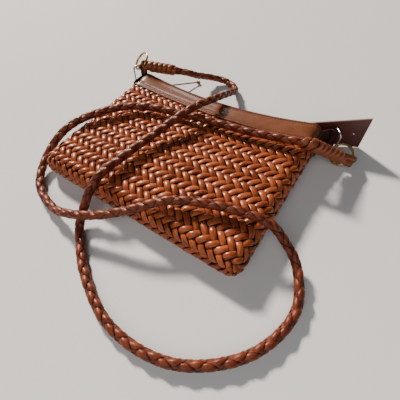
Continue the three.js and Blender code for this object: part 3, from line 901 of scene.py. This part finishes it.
def strap_end(side_name):
    ring = RINGS[side_name]
    whip_from, whip_to = ring["whip"]
    axis = whip_axis(side_name)
    side = unit(np.cross(unit(ring["way"]), ring["second"]))
    inner = np.linspace(whip_from + CORE_INSET, whip_to - TAPER_LENGTH, CORE_POINTS)
    parts = [rod(at_stations(axis, axis, inner), WHIP_CORE, THONG, sides=20)]
    laces = [(eye_lace(ring, shift), EYE_LACE) for shift in (-EYE_SPREAD, EYE_SPREAD)]
    for start in range(WHIP_STARTS):
        laces.append((whipping_lace(axis, side, whip_from, whip_to, start), WHIP_LACE))
    for (line, outward), sizes in laces:
        parts.append(grown(path_mesh(line, outward=outward), FLAT_LACE, sizes | {"Material": THONG}))
    mesh = closed_up(combined(parts))
    return piece("strap_end_bound_" + side_name, mesh, ["strap_end_" + side_name], THONG)


strap_ends = [strap_end("left"), strap_end("right")]

# %% [markdown]
# ## The form of the bag
# The bag is two sheets, front and back, that meet along a line round the sides and the bottom. One
# function gives the place of any point of the leather from how far across and how far up the sheet it
# lies, on which sheet, and how deep in the wall. It is the CAD model's own rule, so whatever is draped
# with it fits.

# %% The sheets of the bag
HALF_WIDTH = 115.0
EDGE = 14.0  # radius of the rounded edges, seen from above
SIDE_LEVEL = 13.0  # height of the line where the sheets meet
ROW_PITCH = 9.2  # of the weave, up the bag
WEAVE_ROWS = 18
BAND_WIDTH = 26.0
MOUTH_DIP = 5.3
DIP_FROM = 30.0
DIP_LENGTH = 120.0
MOUTH_TILT = 6.0
LEAN_LEFT = -11.0
LEAN_RIGHT = -2.4
LEAN_LENGTH = 170.0
SHEET_FLAT = HALF_WIDTH - EDGE
SHEET_ROUND = EDGE * math.pi / 2
SHEET_HALF = SHEET_FLAT + SHEET_ROUND
WOVEN_LENGTH = ROW_PITCH * WEAVE_ROWS
MOUTH = WOVEN_LENGTH + BAND_WIDTH

# Height of the front face above the ground: how far up the bag, then left, middle and right
FACE_STATIONS = np.array([
    (0, 27, 28, 27), (55, 28, 31, 28), (110, 28, 29, 29), (150, 29, 26, 33), (184, 30, 23.5, 36),
])


def ease(share):
    share = np.clip(share, 0, 1)
    return share * share * (3 - 2 * share)


def face_height(x, y):
    ups = FACE_STATIONS[:, 0]
    index = np.clip(np.searchsorted(ups, y, side="left") - 1, 0, len(ups) - 2)
    share = ease((y - ups[index]) / (ups[index + 1] - ups[index]))
    left, middle, right = (
        FACE_STATIONS[index, k] + (FACE_STATIONS[index + 1, k] - FACE_STATIONS[index, k]) * share
        for k in (1, 2, 3))
    side = np.clip(x / HALF_WIDTH, -1, 1)
    return middle + (right - left) / 2 * side + ((left + right) / 2 - middle) * side**2


def laid(x, y, z):
    """The lie of the bag on the ground: lean, tilt and dip of the mouth."""
    lean = (LEAN_LEFT + (LEAN_RIGHT - LEAN_LEFT) * (0.5 + 0.5 * x / HALF_WIDTH)) * y / LEAN_LENGTH
    tilt = MOUTH_TILT * x * y / (HALF_WIDTH * LEAN_LENGTH)
    dip = MOUTH_DIP * (1 - (x / HALF_WIDTH) ** 2) * ease((y - DIP_FROM) / DIP_LENGTH)
    return np.stack([x + lean, y + tilt - dip, z], axis=-1)


def sheet_points(across, up, front, depth):
    """Points of the front or back sheet, set into the wall by a depth."""
    across, up, front, depth = np.broadcast_arrays(across, up, front, depth)
    radius = EDGE - depth
    over = np.sin(np.clip((np.abs(across) - SHEET_FLAT) / SHEET_ROUND, 0, 1) * math.pi / 2)
    under = np.sin(np.clip(1 - up / SHEET_ROUND, 0, 1) * math.pi / 2)
    u = over * np.sqrt(1 - under**2 / 2)
    v = under * np.sqrt(1 - over**2 / 2)
    rim = np.sqrt(np.maximum(0, 1 - u**2 - v**2))
    x = np.sign(across) * (np.minimum(np.abs(across), SHEET_FLAT) + radius * u)
    y = EDGE - radius * v + np.maximum(0, up - SHEET_ROUND)
    rise = np.where(front, face_height(x, y) - SIDE_LEVEL - depth, depth - SIDE_LEVEL)
    return laid(x, y, SIDE_LEVEL + rise * rim)


print("leather from side to side:", round(2 * SHEET_HALF, 1), "mm, up to the mouth:", round(MOUTH, 1), "mm")

# %% [markdown]
# ## The weave
# Strips of leather run on the bias in both directions, each over two and under two, and show as floats in
# a herringbone. The pattern repeats by a rule, so it is laid out flat: one row of floats slants to the
# one side and the next row to the other. The layout runs over the bottom fold and both side edges, and
# every vertex is then draped with the rule above.

# %% Lay the floats out flat
COLUMNS = 29
COLUMN_PITCH = 2 * SHEET_HALF / COLUMNS
FLOAT_SLANT = math.atan2(ROW_PITCH / 2, COLUMN_PITCH / 2)
WEAVE_UNEVEN = 1.0
WEAVE_LIE = (0.07, 0.04, 0.022)  # radians: weaving by hand leaves the floats a little tilted


def float_layout():
    """Centres of the floats on the flat sheet, with the slant of each."""
    centres = []
    slants = []
    for row in range(-WEAVE_ROWS, WEAVE_ROWS + 1):
        even = row % 2 == 0
        half = COLUMNS / 2
        first = math.ceil(-half) if even else -half
        for step in range(COLUMNS + (0 if even else 1)):
            column = first + step
            shared_side = abs(column) == half
            if shared_side and row < 0:
                continue  # the front row's own float already bends round the side
            centres.append((column * COLUMN_PITCH, row * ROW_PITCH, 0.0))
            slants.append(FLOAT_SLANT if even else -FLOAT_SLANT)
    return np.array(centres), np.array(slants)


weave_mesh = floats(*float_layout(), WEAVE_UNEVEN, WOVEN, WEAVE_LIE)
print("weave laid out:", len(weave_mesh.polygons), "faces")

# %% Drape the weave round the bag
WEAVE_BASE = 1.9  # depth of the plane that the floats rise from
WEAVE_TOP = WOVEN_LENGTH - 0.3  # the strips end here, under the band
TUCK = 7.0  # length over which they sink under it
TUCK_FLAT = 0.3  # share of their height that is left there
TOP_CLEAR = 0.05  # from the tops of the floats to the outside of the wall


def draped(flat):
    """Points of the flat weave, bent round the bag."""
    across, up, height = flat.T
    past_side = np.abs(across) > SHEET_HALF
    front = past_side == (up < 0)
    across = np.where(past_side, np.sign(across) * (2 * SHEET_HALF - np.abs(across)), across)
    up = np.minimum(np.abs(up), WEAVE_TOP)
    sunk = TUCK_FLAT + (1 - TUCK_FLAT) * ease((WEAVE_TOP - up) / TUCK)
    depth = np.maximum(WEAVE_BASE - height * sunk, TOP_CLEAR)
    return sheet_points(across, up, front, depth)


piece("woven_body_floats", bent(weave_mesh, draped), ["woven_body"])

# %% [markdown]
# ## Behind the weave
# Between the floats one sees the backs of the strips that run underneath. A thin shell of the same
# form, set deeper into the wall, stands for them and closes the bag. Its near-black colour without shine
# is painted shade, the shade that falls in the gaps between the floats.

# %% The shell behind the weave
SHELL_OUT = 2.1
SHELL_IN = 2.6
SHELL_STEPS = (25, 22)  # across and up
BEND = np.linspace(0, 1, 9)  # steps round an edge of the bag


def from_side_to_side(steps):
    """Stations across a sheet: close together round the side edges, and a number of them on the flat."""
    side = SHEET_FLAT + SHEET_ROUND * BEND
    return np.concatenate([-side[::-1], np.linspace(-SHEET_FLAT, SHEET_FLAT, steps)[1:-1], side])


def bag_shell(outside, inside, top):
    """A closed shell between two depths, open at the mouth."""
    across = from_side_to_side(SHELL_STEPS[0])
    climb = np.concatenate([SHEET_ROUND * BEND, np.linspace(SHEET_ROUND, top, SHELL_STEPS[1])[1:]])
    up = np.concatenate([-climb[::-1], climb[1:]])
    sheet = {}
    for depth in (outside, inside):
        sheet[depth] = sheet_points(across[None, :], np.abs(up)[:, None], (up >= 0)[:, None], depth)
    rows = np.concatenate([sheet[outside], sheet[inside][::-1]])
    return closed_up(grid_mesh(rows, close_rows=True), merge=1e-3)


# The shell's colour is painted shade for the gaps between the floats
piece("woven_body_inside", bag_shell(SHELL_OUT, SHELL_IN, WOVEN_LENGTH), material=PAINTED_GAP_SHADE)

# %% [markdown]
# ## The band round the mouth
# A band of smooth leather finishes the mouth. It is sewn near both edges, and the seams pull it into a
# groove. Between them it dips above the lower seam and rises to a ridge below the upper one. The section
# is a table of points, each given by how far up the sheet and how deep it lies, and the same draping rule
# carries it round the mouth.

# %% The band
BAND_LOW = WOVEN_LENGTH - 2.2  # the lower edge lies over the ends of the strips
SEAM_LOW = BAND_LOW + 3.0
SEAM_HIGH = MOUTH - 2.6
BAND_CLEAR = 0.08  # keeps the ridge of the band off the ground
BAND_STEPS = 41
RIDGE = SEAM_HIGH - 5.5

# How far up the sheet and how deep: lower edge, lower seam, dip, ridge, upper seam, upper edge, inside
BAND_SECTION = [
    (BAND_LOW, 1.05), (BAND_LOW, 0.6), (BAND_LOW + 0.4, 0.15), (BAND_LOW + 0.9, 0.0),
    (SEAM_LOW - 1.0, 0.0), (SEAM_LOW - 0.6, 0.12), (SEAM_LOW, 0.5), (SEAM_LOW + 0.6, 0.12),
    (SEAM_LOW + 1.0, 0.0), (SEAM_LOW + 2.0, 0.0), (SEAM_LOW + 2.8, 0.45), (SEAM_LOW + 4.2, 1.1),
    (RIDGE - 7.5, 0.6), (RIDGE - 4.0, 0.18), (RIDGE - 2.0, 0.03), (RIDGE, -0.03), (RIDGE + 2.0, 0.02),
    (RIDGE + 3.5, 0.15), (SEAM_HIGH - 0.7, 0.35), (SEAM_HIGH, 0.7), (SEAM_HIGH + 0.6, 0.15),
    (SEAM_HIGH + 1.0, 0.0), (MOUTH - 0.7, 0.0), (MOUTH - 0.3, 0.25), (MOUTH, 0.8),
    (MOUTH, 1.6), (MOUTH - 0.7, 2.15), (WOVEN_LENGTH + 0.4, 2.2), (WOVEN_LENGTH + 0.2, 1.05),
]


def round_the_mouth():
    """Stations round the mouth: the front from left to right, then the back."""
    across = from_side_to_side(BAND_STEPS)
    both = np.concatenate([across, across[-2:0:-1]])
    front = np.arange(len(both)) < len(across)
    return both, front


def band_mesh(section):
    across, front = round_the_mouth()
    ups = np.array([up for up, _ in section])
    depths = np.array([depth for _, depth in section]) + BAND_CLEAR
    points = sheet_points(across[:, None], ups[None, :], front[:, None], depths[None, :])
    return closed_up(grid_mesh(points, close_rows=True, close_columns=True))


piece("mouth_band_leather", band_mesh(BAND_SECTION), ["mouth_band"], BAND)

# %% [markdown]
# ## Stitches
# Both edges of the band are sewn with dark thread in short straight stitches. A tree walks along a path
# in equal steps and puts one stitch at each, turned to the path. A stitch is a stretched ball with few
# faces.

# %% The tree of the stitches
SEAM_DEPTH = 0.56  # how deep the middle of a stitch lies


def in_steps(tree, curve, pitch):
    """The curve's points at equal steps."""
    made = node(tree, "GeometryNodeResampleCurve", {"Curve": curve, "Length": pitch}, mode="LENGTH")
    return made.outputs["Curve"]


def stitch_tree():
    sizes = [("Pitch", "Float", 3.2), ("Length", "Float", 2.4), ("Thread", "Float", 0.95)]
    tree, given, result, curve = path_group("Stitches along a path", sizes, "Stitches")
    ball = node(tree, "GeometryNodeMeshUVSphere", {"Segments": 8, "Rings": 6, "Radius": 0.5})
    tangent = node(tree, "GeometryNodeInputTangent").outputs["Tangent"]
    turned = node(tree, "FunctionNodeAlignRotationToVector", {"Vector": tangent}, axis="Z")
    copies = node(tree, "GeometryNodeInstanceOnPoints", {
        "Points": in_steps(tree, curve, given["Pitch"]),
        "Instance": ball.outputs["Mesh"], "Rotation": turned.outputs["Rotation"],
        "Scale": vector(tree, X=given["Thread"], Y=given["Thread"], Z=given["Length"])})
    finished_geometry(tree, copies.outputs["Instances"], given["Material"], result)
    return tree


STITCHES = stitch_tree()


def seam_path(up):
    across, front = round_the_mouth()
    return path_mesh(sheet_points(across, up, front, SEAM_DEPTH), closed=True)


for label, up in (("lower", SEAM_LOW), ("upper", SEAM_HIGH)):
    sewn = grown(seam_path(up), STITCHES, {"Material": THREAD})
    piece("band_seam_" + label, sewn)

# %% [markdown]
# ## Copies of plain solids
# Some solids already have the right form and need only softer edges. A copy of the CAD mesh has its loose
# triangles merged and its flat faces joined first, so that the Bevel modifier finds the real edges.

# %% A helper that softens a solid's edges
SHARP_FROM = math.radians(35)  # edges that are flatter than this stay as they are
FLAT_WITHIN = math.radians(2)
SAME_POINT = 1e-6  # metres


def softened(node_name, width):
    """A copy of a CAD node's mesh with its edges rounded."""
    mesh = nodes[node_name].data.copy()
    work = bmesh.new()
    work.from_mesh(mesh)
    bmesh.ops.remove_doubles(work, verts=work.verts, dist=SAME_POINT)
    bmesh.ops.dissolve_limit(work, angle_limit=FLAT_WITHIN, verts=work.verts, edges=work.edges)
    work.to_mesh(mesh)
    work.free()
    carrier = linked("carrier", mesh)
    bevel = carrier.modifiers.new("soft edges", "BEVEL")
    bevel.width = width * METRES
    bevel.segments = 2
    bevel.limit_method = "ANGLE"
    bevel.angle_limit = SHARP_FROM
    result = applied(carrier)
    result.shade_smooth()
    result.set_sharp_from_angle(angle=SHARP_FROM)
    return result


# %% [markdown]
# ## The zip
# The zip lies a little below the mouth's edge: two strips of tape, the closed teeth, the slider and a
# thong to pull it by. The teeth repeat along a line, so a tree sets them at equal steps, each one
# reaching over the middle from the other side.

# %% The zip's line
ZIP_DEPTH = 8.0
ZIP_LEFT = -100.0
ZIP_RIGHT = 66.0
TEETH_UP = 0.8  # middle of the teeth above the underside of the tape
TAPE_SOFT = 0.45  # roundness of the edges
SLIDER_SOFT = 0.4
ZIP_POINTS = 60


def zip_line(across):
    """Points along the middle of the zip."""
    top = sheet_points(across, MOUTH - ZIP_DEPTH, True, 0.0)
    return np.column_stack([top[:, 0], top[:, 1] + TEETH_UP, top[:, 2] / 2])


for side in ("front", "back"):
    tape = softened("zip_panel_" + side, TAPE_SOFT)
    piece("zip_tape_" + side, tape, ["zip_panel_" + side], ZIP_CLOTH, placed=True)

# %% The tree of the teeth


def teeth_tree():
    sizes = [("Pitch", "Float", 0.68), ("Reach", "Float", 3.3), ("Offset", "Float", 0.95),
             ("Thickness", "Float", 2.2), ("Width", "Float", 0.85)]
    tree, given, result, curve = path_group("Zip teeth", sizes, "Teeth")
    index = Field(tree, node(tree, "GeometryNodeInputIndex").outputs["Index"])
    side = index.math("MODULO", 2.0) * 2.0 - 1.0
    curve = node(tree, "GeometryNodeSetPosition", {
        "Geometry": in_steps(tree, curve, given["Pitch"]),
        "Offset": vector(tree, Z=side * Field(tree, given["Offset"]))}).outputs["Geometry"]
    size = vector(tree, X=given["Width"], Y=given["Thickness"], Z=given["Reach"])
    tooth = node(tree, "GeometryNodeMeshCube", {"Size": size}).outputs["Mesh"]
    copies = node(tree, "GeometryNodeInstanceOnPoints", {"Points": curve, "Instance": tooth})
    finished_geometry(tree, copies.outputs["Instances"], given["Material"], result)
    return tree


teeth_path = path_mesh(zip_line(np.linspace(ZIP_LEFT, ZIP_RIGHT, ZIP_POINTS)))
teeth = grown(teeth_path, teeth_tree(), {"Material": STEEL})
for polygon in teeth.polygons:
    polygon.use_smooth = False
piece("zip_teeth_row", teeth, ["zip_teeth"])
piece("zip_slider_body", softened("zip_slider", SLIDER_SOFT), ["zip_slider"], STEEL, placed=True)

# %% [markdown]
# ## Rings, links and the zip's thong
# The wire pieces hang together: a link goes through the roll of leather at each corner of the mouth, and
# a ring hangs on the link. The thong on the slider ends in a knot, which is the same rod wound three
# times.

# %% Rings and links
LINK_WIRE = 1.1
LINK_WIDTH = 12.8
LINK_LOW = 2.0
LINK_HIGH = 29.5
LINK_CORNER = 4.0
RING_POINTS = 48
CORNER_POINTS = 7

# Each link by the axis of the leather roll that holds it and the way it points from there
LINKS = {
    "left": {"axis": (-134.880, 186.629), "way": (-0.6018, -0.7986)},
    "right": {"axis": (120.408, 199.589), "way": (0.6293, -0.7771)},
}


def ring_line(ring):
    turn = np.linspace(0, 2 * math.pi, RING_POINTS, endpoint=False)[:, None]
    return (np.array(ring["centre"]) + RING_RADIUS * np.cos(turn) * np.array(ring["first"])
            + RING_RADIUS * np.sin(turn) * np.array(ring["second"]))


def link_line(link):
    """A rectangle of wire with round corners, standing on edge."""
    points = []
    for out, up, start in ((1, 1, 0), (0, 1, 90), (0, 0, 180), (1, 0, 270)):
        middle_out = LINK_WIDTH - LINK_CORNER if out else LINK_CORNER
        middle_up = LINK_HIGH - LINK_CORNER if up else LINK_LOW + LINK_CORNER
        for turn in np.radians(np.linspace(start, start + 90, CORNER_POINTS)):
            reach = middle_out + LINK_CORNER * math.cos(turn)
            height = middle_up + LINK_CORNER * math.sin(turn)
            foot = np.array(link["axis"]) + reach * np.array(link["way"])
            points.append((foot[0], foot[1], height))
    return np.array(points)


for side in ("left", "right"):
    ring = rod(ring_line(RINGS[side]), RING_WIRE, BRASS, closed=True)
    piece("strap_ring_brass_" + side, ring, ["strap_ring_" + side])
    link = rod(link_line(LINKS[side]), LINK_WIRE, STEEL, closed=True)
    piece("side_link_wire_" + side, link, ["side_link_" + side])

# %% The zip's thong
PULL_RING = 3.6
PULL_THONG = 0.9
SLIDER_AT = -88.0
PULL_EYE = (1.2, 10.0)  # from the zip's line to the middle of the thong's loop, across and up the bag
PULL_RUN = (22.0, 46.0)  # and from the loop to the knot
PULL_SAG = (0.45, 0.62)  # where the thong bends: share of its run, and of its height at the loop
KNOT_LEVEL = 2.5  # above the ground
KNOT_RADIUS = 1.35
KNOT_TURNS = 3
KNOT_BACK = 2.4  # the knot starts this far before the thong's end
KNOT_LENGTH = 4.2
KNOT_THONG = 0.85
KNOT_POINTS = 14  # to a turn
LOOP_POINTS = 20
RUN_STEPS = 12


def pull_lines():
    seat = zip_line(np.array([SLIDER_AT]))[0]
    eye = seat + (PULL_EYE[0], PULL_EYE[1], 0)
    turn = np.linspace(0, 2 * math.pi, LOOP_POINTS, endpoint=False)[:, None]
    loop = eye + PULL_RING * (np.cos(turn) * (0, 1, 0) + np.sin(turn) * (0, 0, 1))
    start = eye + (0, PULL_RING, 0)
    end = np.array([start[0] + PULL_RUN[0], start[1] + PULL_RUN[1], KNOT_LEVEL])
    bend = start + PULL_SAG[0] * (end - start)
    bend[2] = start[2] * PULL_SAG[1]
    run = smooth_line([start, bend, end], RUN_STEPS)
    ahead = unit(run[-1] - run[-3])
    side = unit(np.cross(ahead, (0, 0, 1)))
    over = np.cross(side, ahead)
    wind = np.linspace(0, 2 * math.pi * KNOT_TURNS, KNOT_POINTS * KNOT_TURNS + 1)[:, None]
    knot = (end + (wind / wind[-1] * KNOT_LENGTH - KNOT_BACK) * ahead
            + KNOT_RADIUS * (np.cos(wind) * side + np.sin(wind) * over))
    return loop, run, knot


loop, run, knot = pull_lines()
thong = combined([
    rod(loop, PULL_THONG, THONG, closed=True, sides=8), rod(run, PULL_THONG, THONG, sides=8),
    rod(knot, KNOT_THONG, THONG, sides=8)])
piece("zip_pull_thong", thong, ["zip_pull"], THONG)

# %% [markdown]
# ## The end tab and the side loops
# Beyond the right corner the zip runs out into a stiff tab of leather that stands on its lower edge. Its
# stations are those of the CAD model, with a smooth line between them. The side loops are strips of
# leather, rolled round the wire links and sewn to the ends of the band. One strip is made for the right
# corner, and a rule lays it round either end of the band.

# %% The end tab
TAB_HALF = 1.0

# Place across, place up the bag, and the height of the lower and the upper edge
TAB_STATIONS = np.array([
    (66.4, 179.5, 8, 22), (84, 184.4, 5.5, 25.5), (96, 193.4, 4.2, 29), (110, 200.4, 2.8, 32),
    (124, 207.6, 1.6, 34.5), (148, 219, 0.6, 39.5),
])
TAB_ROUND = 0.45  # of its cut edges
TAB_HOLE = (138.0, 214.0, 18.0)  # a small hole near the free end
TAB_HOLE_RADIUS = 1.1
DRILL_REACH = (0, 12, 0)
HOLE_SHARP = math.radians(50)
TAB_STEPS = 10  # between two stations
TAB_LEVELS = 8
TAB_RIM = 0.08  # where the cut edge of the free end begins, as a share of the last step


def bored(mesh):
    """The tab with its hole, cut by a rod along Y and the Boolean modifier."""
    centre = np.array(TAB_HOLE)
    drill = linked("drill", rod([centre - DRILL_REACH, centre + DRILL_REACH], TAB_HOLE_RADIUS, TAB))
    carrier = linked("carrier", mesh)
    cut = carrier.modifiers.new("hole", "BOOLEAN")
    cut.operation = "DIFFERENCE"
    cut.object = drill
    result = applied(carrier)
    bpy.data.objects.remove(drill)
    result.set_sharp_from_angle(angle=HOLE_SHARP)
    return result


def tab_mesh():
    """A sheet through the stations with a rounded section; its edges are marked by the across attribute."""
    middle = smooth_line(TAB_STATIONS[:, [0, 1, 1]] * (1, 1, 0), TAB_STEPS)
    middle = np.insert(middle, -1, middle[-1] + TAB_RIM * (middle[-2] - middle[-1]), axis=0)
    low = smooth_line(TAB_STATIONS[:, [0, 2, 2]] * (1, 1, 0), TAB_STEPS)
    high = smooth_line(TAB_STATIONS[:, [0, 3, 3]] * (1, 1, 0), TAB_STEPS)
    rings = []
    marks = []
    for index, (x, y, _) in enumerate(middle):
        ahead = unit(middle[min(index + 1, len(middle) - 1)] - middle[max(index - 1, 0)])
        face = np.array([-ahead[1], ahead[0], 0])
        bottom = np.interp(x, low[:, 0], low[:, 1])
        top = np.interp(x, high[:, 0], high[:, 1])
        inner = np.linspace(bottom + 2 * TAB_ROUND, top - 2 * TAB_ROUND, TAB_LEVELS)
        heights = np.concatenate([[bottom + TAB_ROUND], inner, [top - TAB_ROUND]])
        near = np.array([x, y, 0]) + np.outer(heights, (0, 0, 1)) + TAB_HALF * face
        far = near[::-1] - 2 * TAB_HALF * face
        lip = (TAB_HALF - TAB_ROUND) * face
        upper = [np.array([x, y, top]) + lip, np.array([x, y, top]) - lip]
        lower = [np.array([x, y, bottom]) - lip, np.array([x, y, bottom]) + lip]
        rings.append(np.vstack([near, upper, far, lower]))
        side = [1.0] + [0.0] * len(inner) + [1.0]
        at_end = index == len(middle) - 1
        marks.append([1.0] * (2 * len(side) + 4) if at_end else side + [1.0, 1.0] + side + [1.0, 1.0])
    mesh = grid_mesh(np.array(rings), close_columns=True)
    # These marked edges take the tab finish's pale edge colour, a painted highlight
    edge = mesh.attributes.new("across", "FLOAT", "POINT")
    edge.data.foreach_set("value", np.array(marks, np.float32).ravel())
    return bored(closed_up(mesh))


piece("end_tab_leather", tab_mesh(), ["end_tab"], TAB)

# %% The side loops
LOOP_HALF = 0.9  # half the thickness of the strip
LOOP_LOW = 3.6
LOOP_HIGH = 27.6
LOOP_TAIL = 20.0  # length that is sewn to the end of the band
LOOP_OUT = 8.0  # from the corner of the mouth to the axis of the roll, sideways
LOOP_UP = 9.5  # and up the bag
LOOP_GAP = 0.3  # from the band
ROLL_RADIUS = 3.5
ROLL_TURN = (230, 560)  # degrees
ROLL_POINTS = 23
TAIL_END = -1.0  # the strip is straight up to here, seen from the corner
TAIL_POINTS = 6
HUG_END = LOOP_UP - 1  # from here on it no longer follows the end of the band
LOOP_STEPS = 2
LOOP_LEVELS = 11
LOOP_ROUND = 0.5  # height over which the long edges narrow to half the thickness
LOOP_SEAM = {"from": -17.5, "to": -3.5, "low": 6.5, "high": 24.5}
SEAM_SHARES = np.linspace(0, 1, 7)[:-1]  # points along one side of it


def side_reach(sign, y, height):
    """How far the end of the band reaches sideways at a height, where it is not yet laid."""
    front_rise = face_height(np.full_like(height, sign * HALF_WIDTH), y) - SIDE_LEVEL
    rise = np.where(height > SIDE_LEVEL, front_rise, SIDE_LEVEL)
    return SHEET_FLAT + EDGE * np.sqrt(np.maximum(0, 1 - ((height - SIDE_LEVEL) / rise) ** 2))


def hugging(side):
    """The rule that lays points, given from the right corner of the mouth, round the end of the band."""
    sign = -1 if side == "left" else 1
    corner = np.array(LINKS[side]["axis"]) - (sign * LOOP_OUT, LOOP_UP)

    def rule(points):
        x, y, z = points.T
        hug = 1 - ease(y / HUG_END)
        inward = side_reach(sign, EDGE + MOUTH - SHEET_ROUND + np.minimum(0, y), z) - HALF_WIDTH
        return np.column_stack([corner[0] + sign * (x + hug * inward), corner[1] + y, z])

    return rule


def loop_mesh():
    """A strip of leather, straight and then rolled, seen from the right corner of the mouth."""
    straight = [(LOOP_GAP + LOOP_HALF, y, 0) for y in np.linspace(-LOOP_TAIL, TAIL_END, TAIL_POINTS)]
    turn = np.radians(np.linspace(*ROLL_TURN, ROLL_POINTS))
    roll = ROLL_RADIUS * np.column_stack([np.cos(turn), np.sin(turn), 0 * turn]) + (LOOP_OUT, LOOP_UP, 0)
    line = smooth_line(np.vstack([straight, roll]), LOOP_STEPS)
    ahead = unit_rows(np.gradient(line, axis=0))
    outward = np.column_stack([ahead[:, 1], -ahead[:, 0], ahead[:, 2]])
    inner = np.linspace(LOOP_LOW + LOOP_ROUND, LOOP_HIGH - LOOP_ROUND, LOOP_LEVELS)
    levels = np.concatenate([[LOOP_LOW], inner, [LOOP_HIGH]])
    halves = np.concatenate([[LOOP_HALF / 2], np.full(LOOP_LEVELS, LOOP_HALF), [LOOP_HALF / 2]])
    heights = np.concatenate([levels, levels[::-1]])
    offsets = np.concatenate([halves, -halves[::-1]])
    rings = line[:, None, :] + offsets[None, :, None] * outward[:, None, :]
    rings[:, :, 2] = heights
    return grid_mesh(rings, close_columns=True)


def loop_seam():
    """The stitches that hold the strip, along a rectangle on its outer face."""
    seam = LOOP_SEAM
    corners = [(seam["from"], seam["low"]), (seam["to"], seam["low"]), (seam["to"], seam["high"]),
               (seam["from"], seam["high"])]
    line = []
    for start, end in zip(corners, corners[1:] + corners[:1]):
        line += [np.array(start) + share * (np.array(end) - start) for share in SEAM_SHARES]
    outer = LOOP_GAP + 2 * LOOP_HALF
    return np.array([(outer, y, z) for y, z in line])


for side in ("left", "right"):
    rule = hugging(side)
    loop = closed_up(bent(loop_mesh(), rule))
    # The loops' near-black leather is painted shade
    piece("side_loop_roll_" + side, loop, ["side_loop_" + side], LOOP_LEATHER_PAINTED_SHADE)
    sewn = grown(path_mesh(rule(loop_seam()), closed=True), STITCHES, {"Material": THREAD})
    piece("side_loop_seam_" + side, sewn)

# %% [markdown]
# ## Floor and light
# The bag lies on a plain pale floor. The key light, strong and fairly small, comes from the left and
# behind. It gives the bright spots on the strips and the shadows of the strap on the weave. A weak light
# from further back draws the ridge of the band, and a broad one in front and a pale sky fill the shadows
# softly.

# %% The floor
FLOOR_HALF = 3.0
FLOOR_DARK = (0.70, 0.69, 0.67, 1)
FLOOR_LIGHT = (0.76, 0.75, 0.73, 1)
FLOOR_PATCHES = 3.0  # to the metre
FLOOR_ROUGHNESS = 0.85


def floor_material():
    material, tree, shader = shader_material("pale floor")
    place = node(tree, "ShaderNodeTexCoord").outputs["Object"]
    soft = node(tree, "ShaderNodeTexNoise", {"Vector": place, "Scale": FLOOR_PATCHES})
    plug(tree, shader.inputs["Base Color"], blend(tree, soft.outputs["Fac"], FLOOR_DARK, FLOOR_LIGHT))
    shader.inputs["Roughness"].default_value = FLOOR_ROUGHNESS
    return material


corners = [(FLOOR_HALF * x, FLOOR_HALF * y, 0) for x, y in ((-1, -1), (1, -1), (1, 1), (-1, 1))]
floor_mesh = bpy.data.meshes.new("floor")
floor_mesh.from_pydata(corners, [], [(0, 1, 2, 3)])
floor_mesh.materials.append(floor_material())
floor = linked("floor", floor_mesh)

# %% The lights
LIGHTS = {
    "key": {"from": (-0.78, 0.36, 0.56), "distance": 8.0, "size": 0.9,
            "power": 1450.0, "tint": (1.0, 0.92, 0.84)},
    "back": {"from": (-0.53, 0.74, 0.415), "distance": 2.6, "size": 0.55,
             "power": 4.0, "tint": (1.0, 0.94, 0.90)},
    "fill": {"from": (0.3, -0.8, 0.65), "distance": 1.0, "size": 0.9,
             "power": 5.2, "tint": (0.97, 0.98, 1.0)},
}
SKY = (0.82, 0.82, 0.84, 1)
SKY_STRENGTH = 0.06
LIGHT_AIM = (0.0, 80.0, 20.0)

for name, light in LIGHTS.items():
    data = bpy.data.lights.new(name, "AREA")
    data.size = light["size"]
    data.energy = light["power"]
    data.color = light["tint"]
    lamp = linked(name, data)
    way = Vector(light["from"]).normalized()
    turn = way.to_track_quat("Z", "Y").to_matrix().to_4x4()
    lamp.matrix_world = Matrix.Translation(in_row(LIGHT_AIM) + way * light["distance"]) @ turn

world = bpy.data.worlds.new("sky")
world.use_nodes = True
background = world.node_tree.nodes["Background"]
background.inputs["Color"].default_value = SKY
background.inputs["Strength"].default_value = SKY_STRENGTH
bpy.context.scene.world = world
print("lights:", ", ".join(LIGHTS))
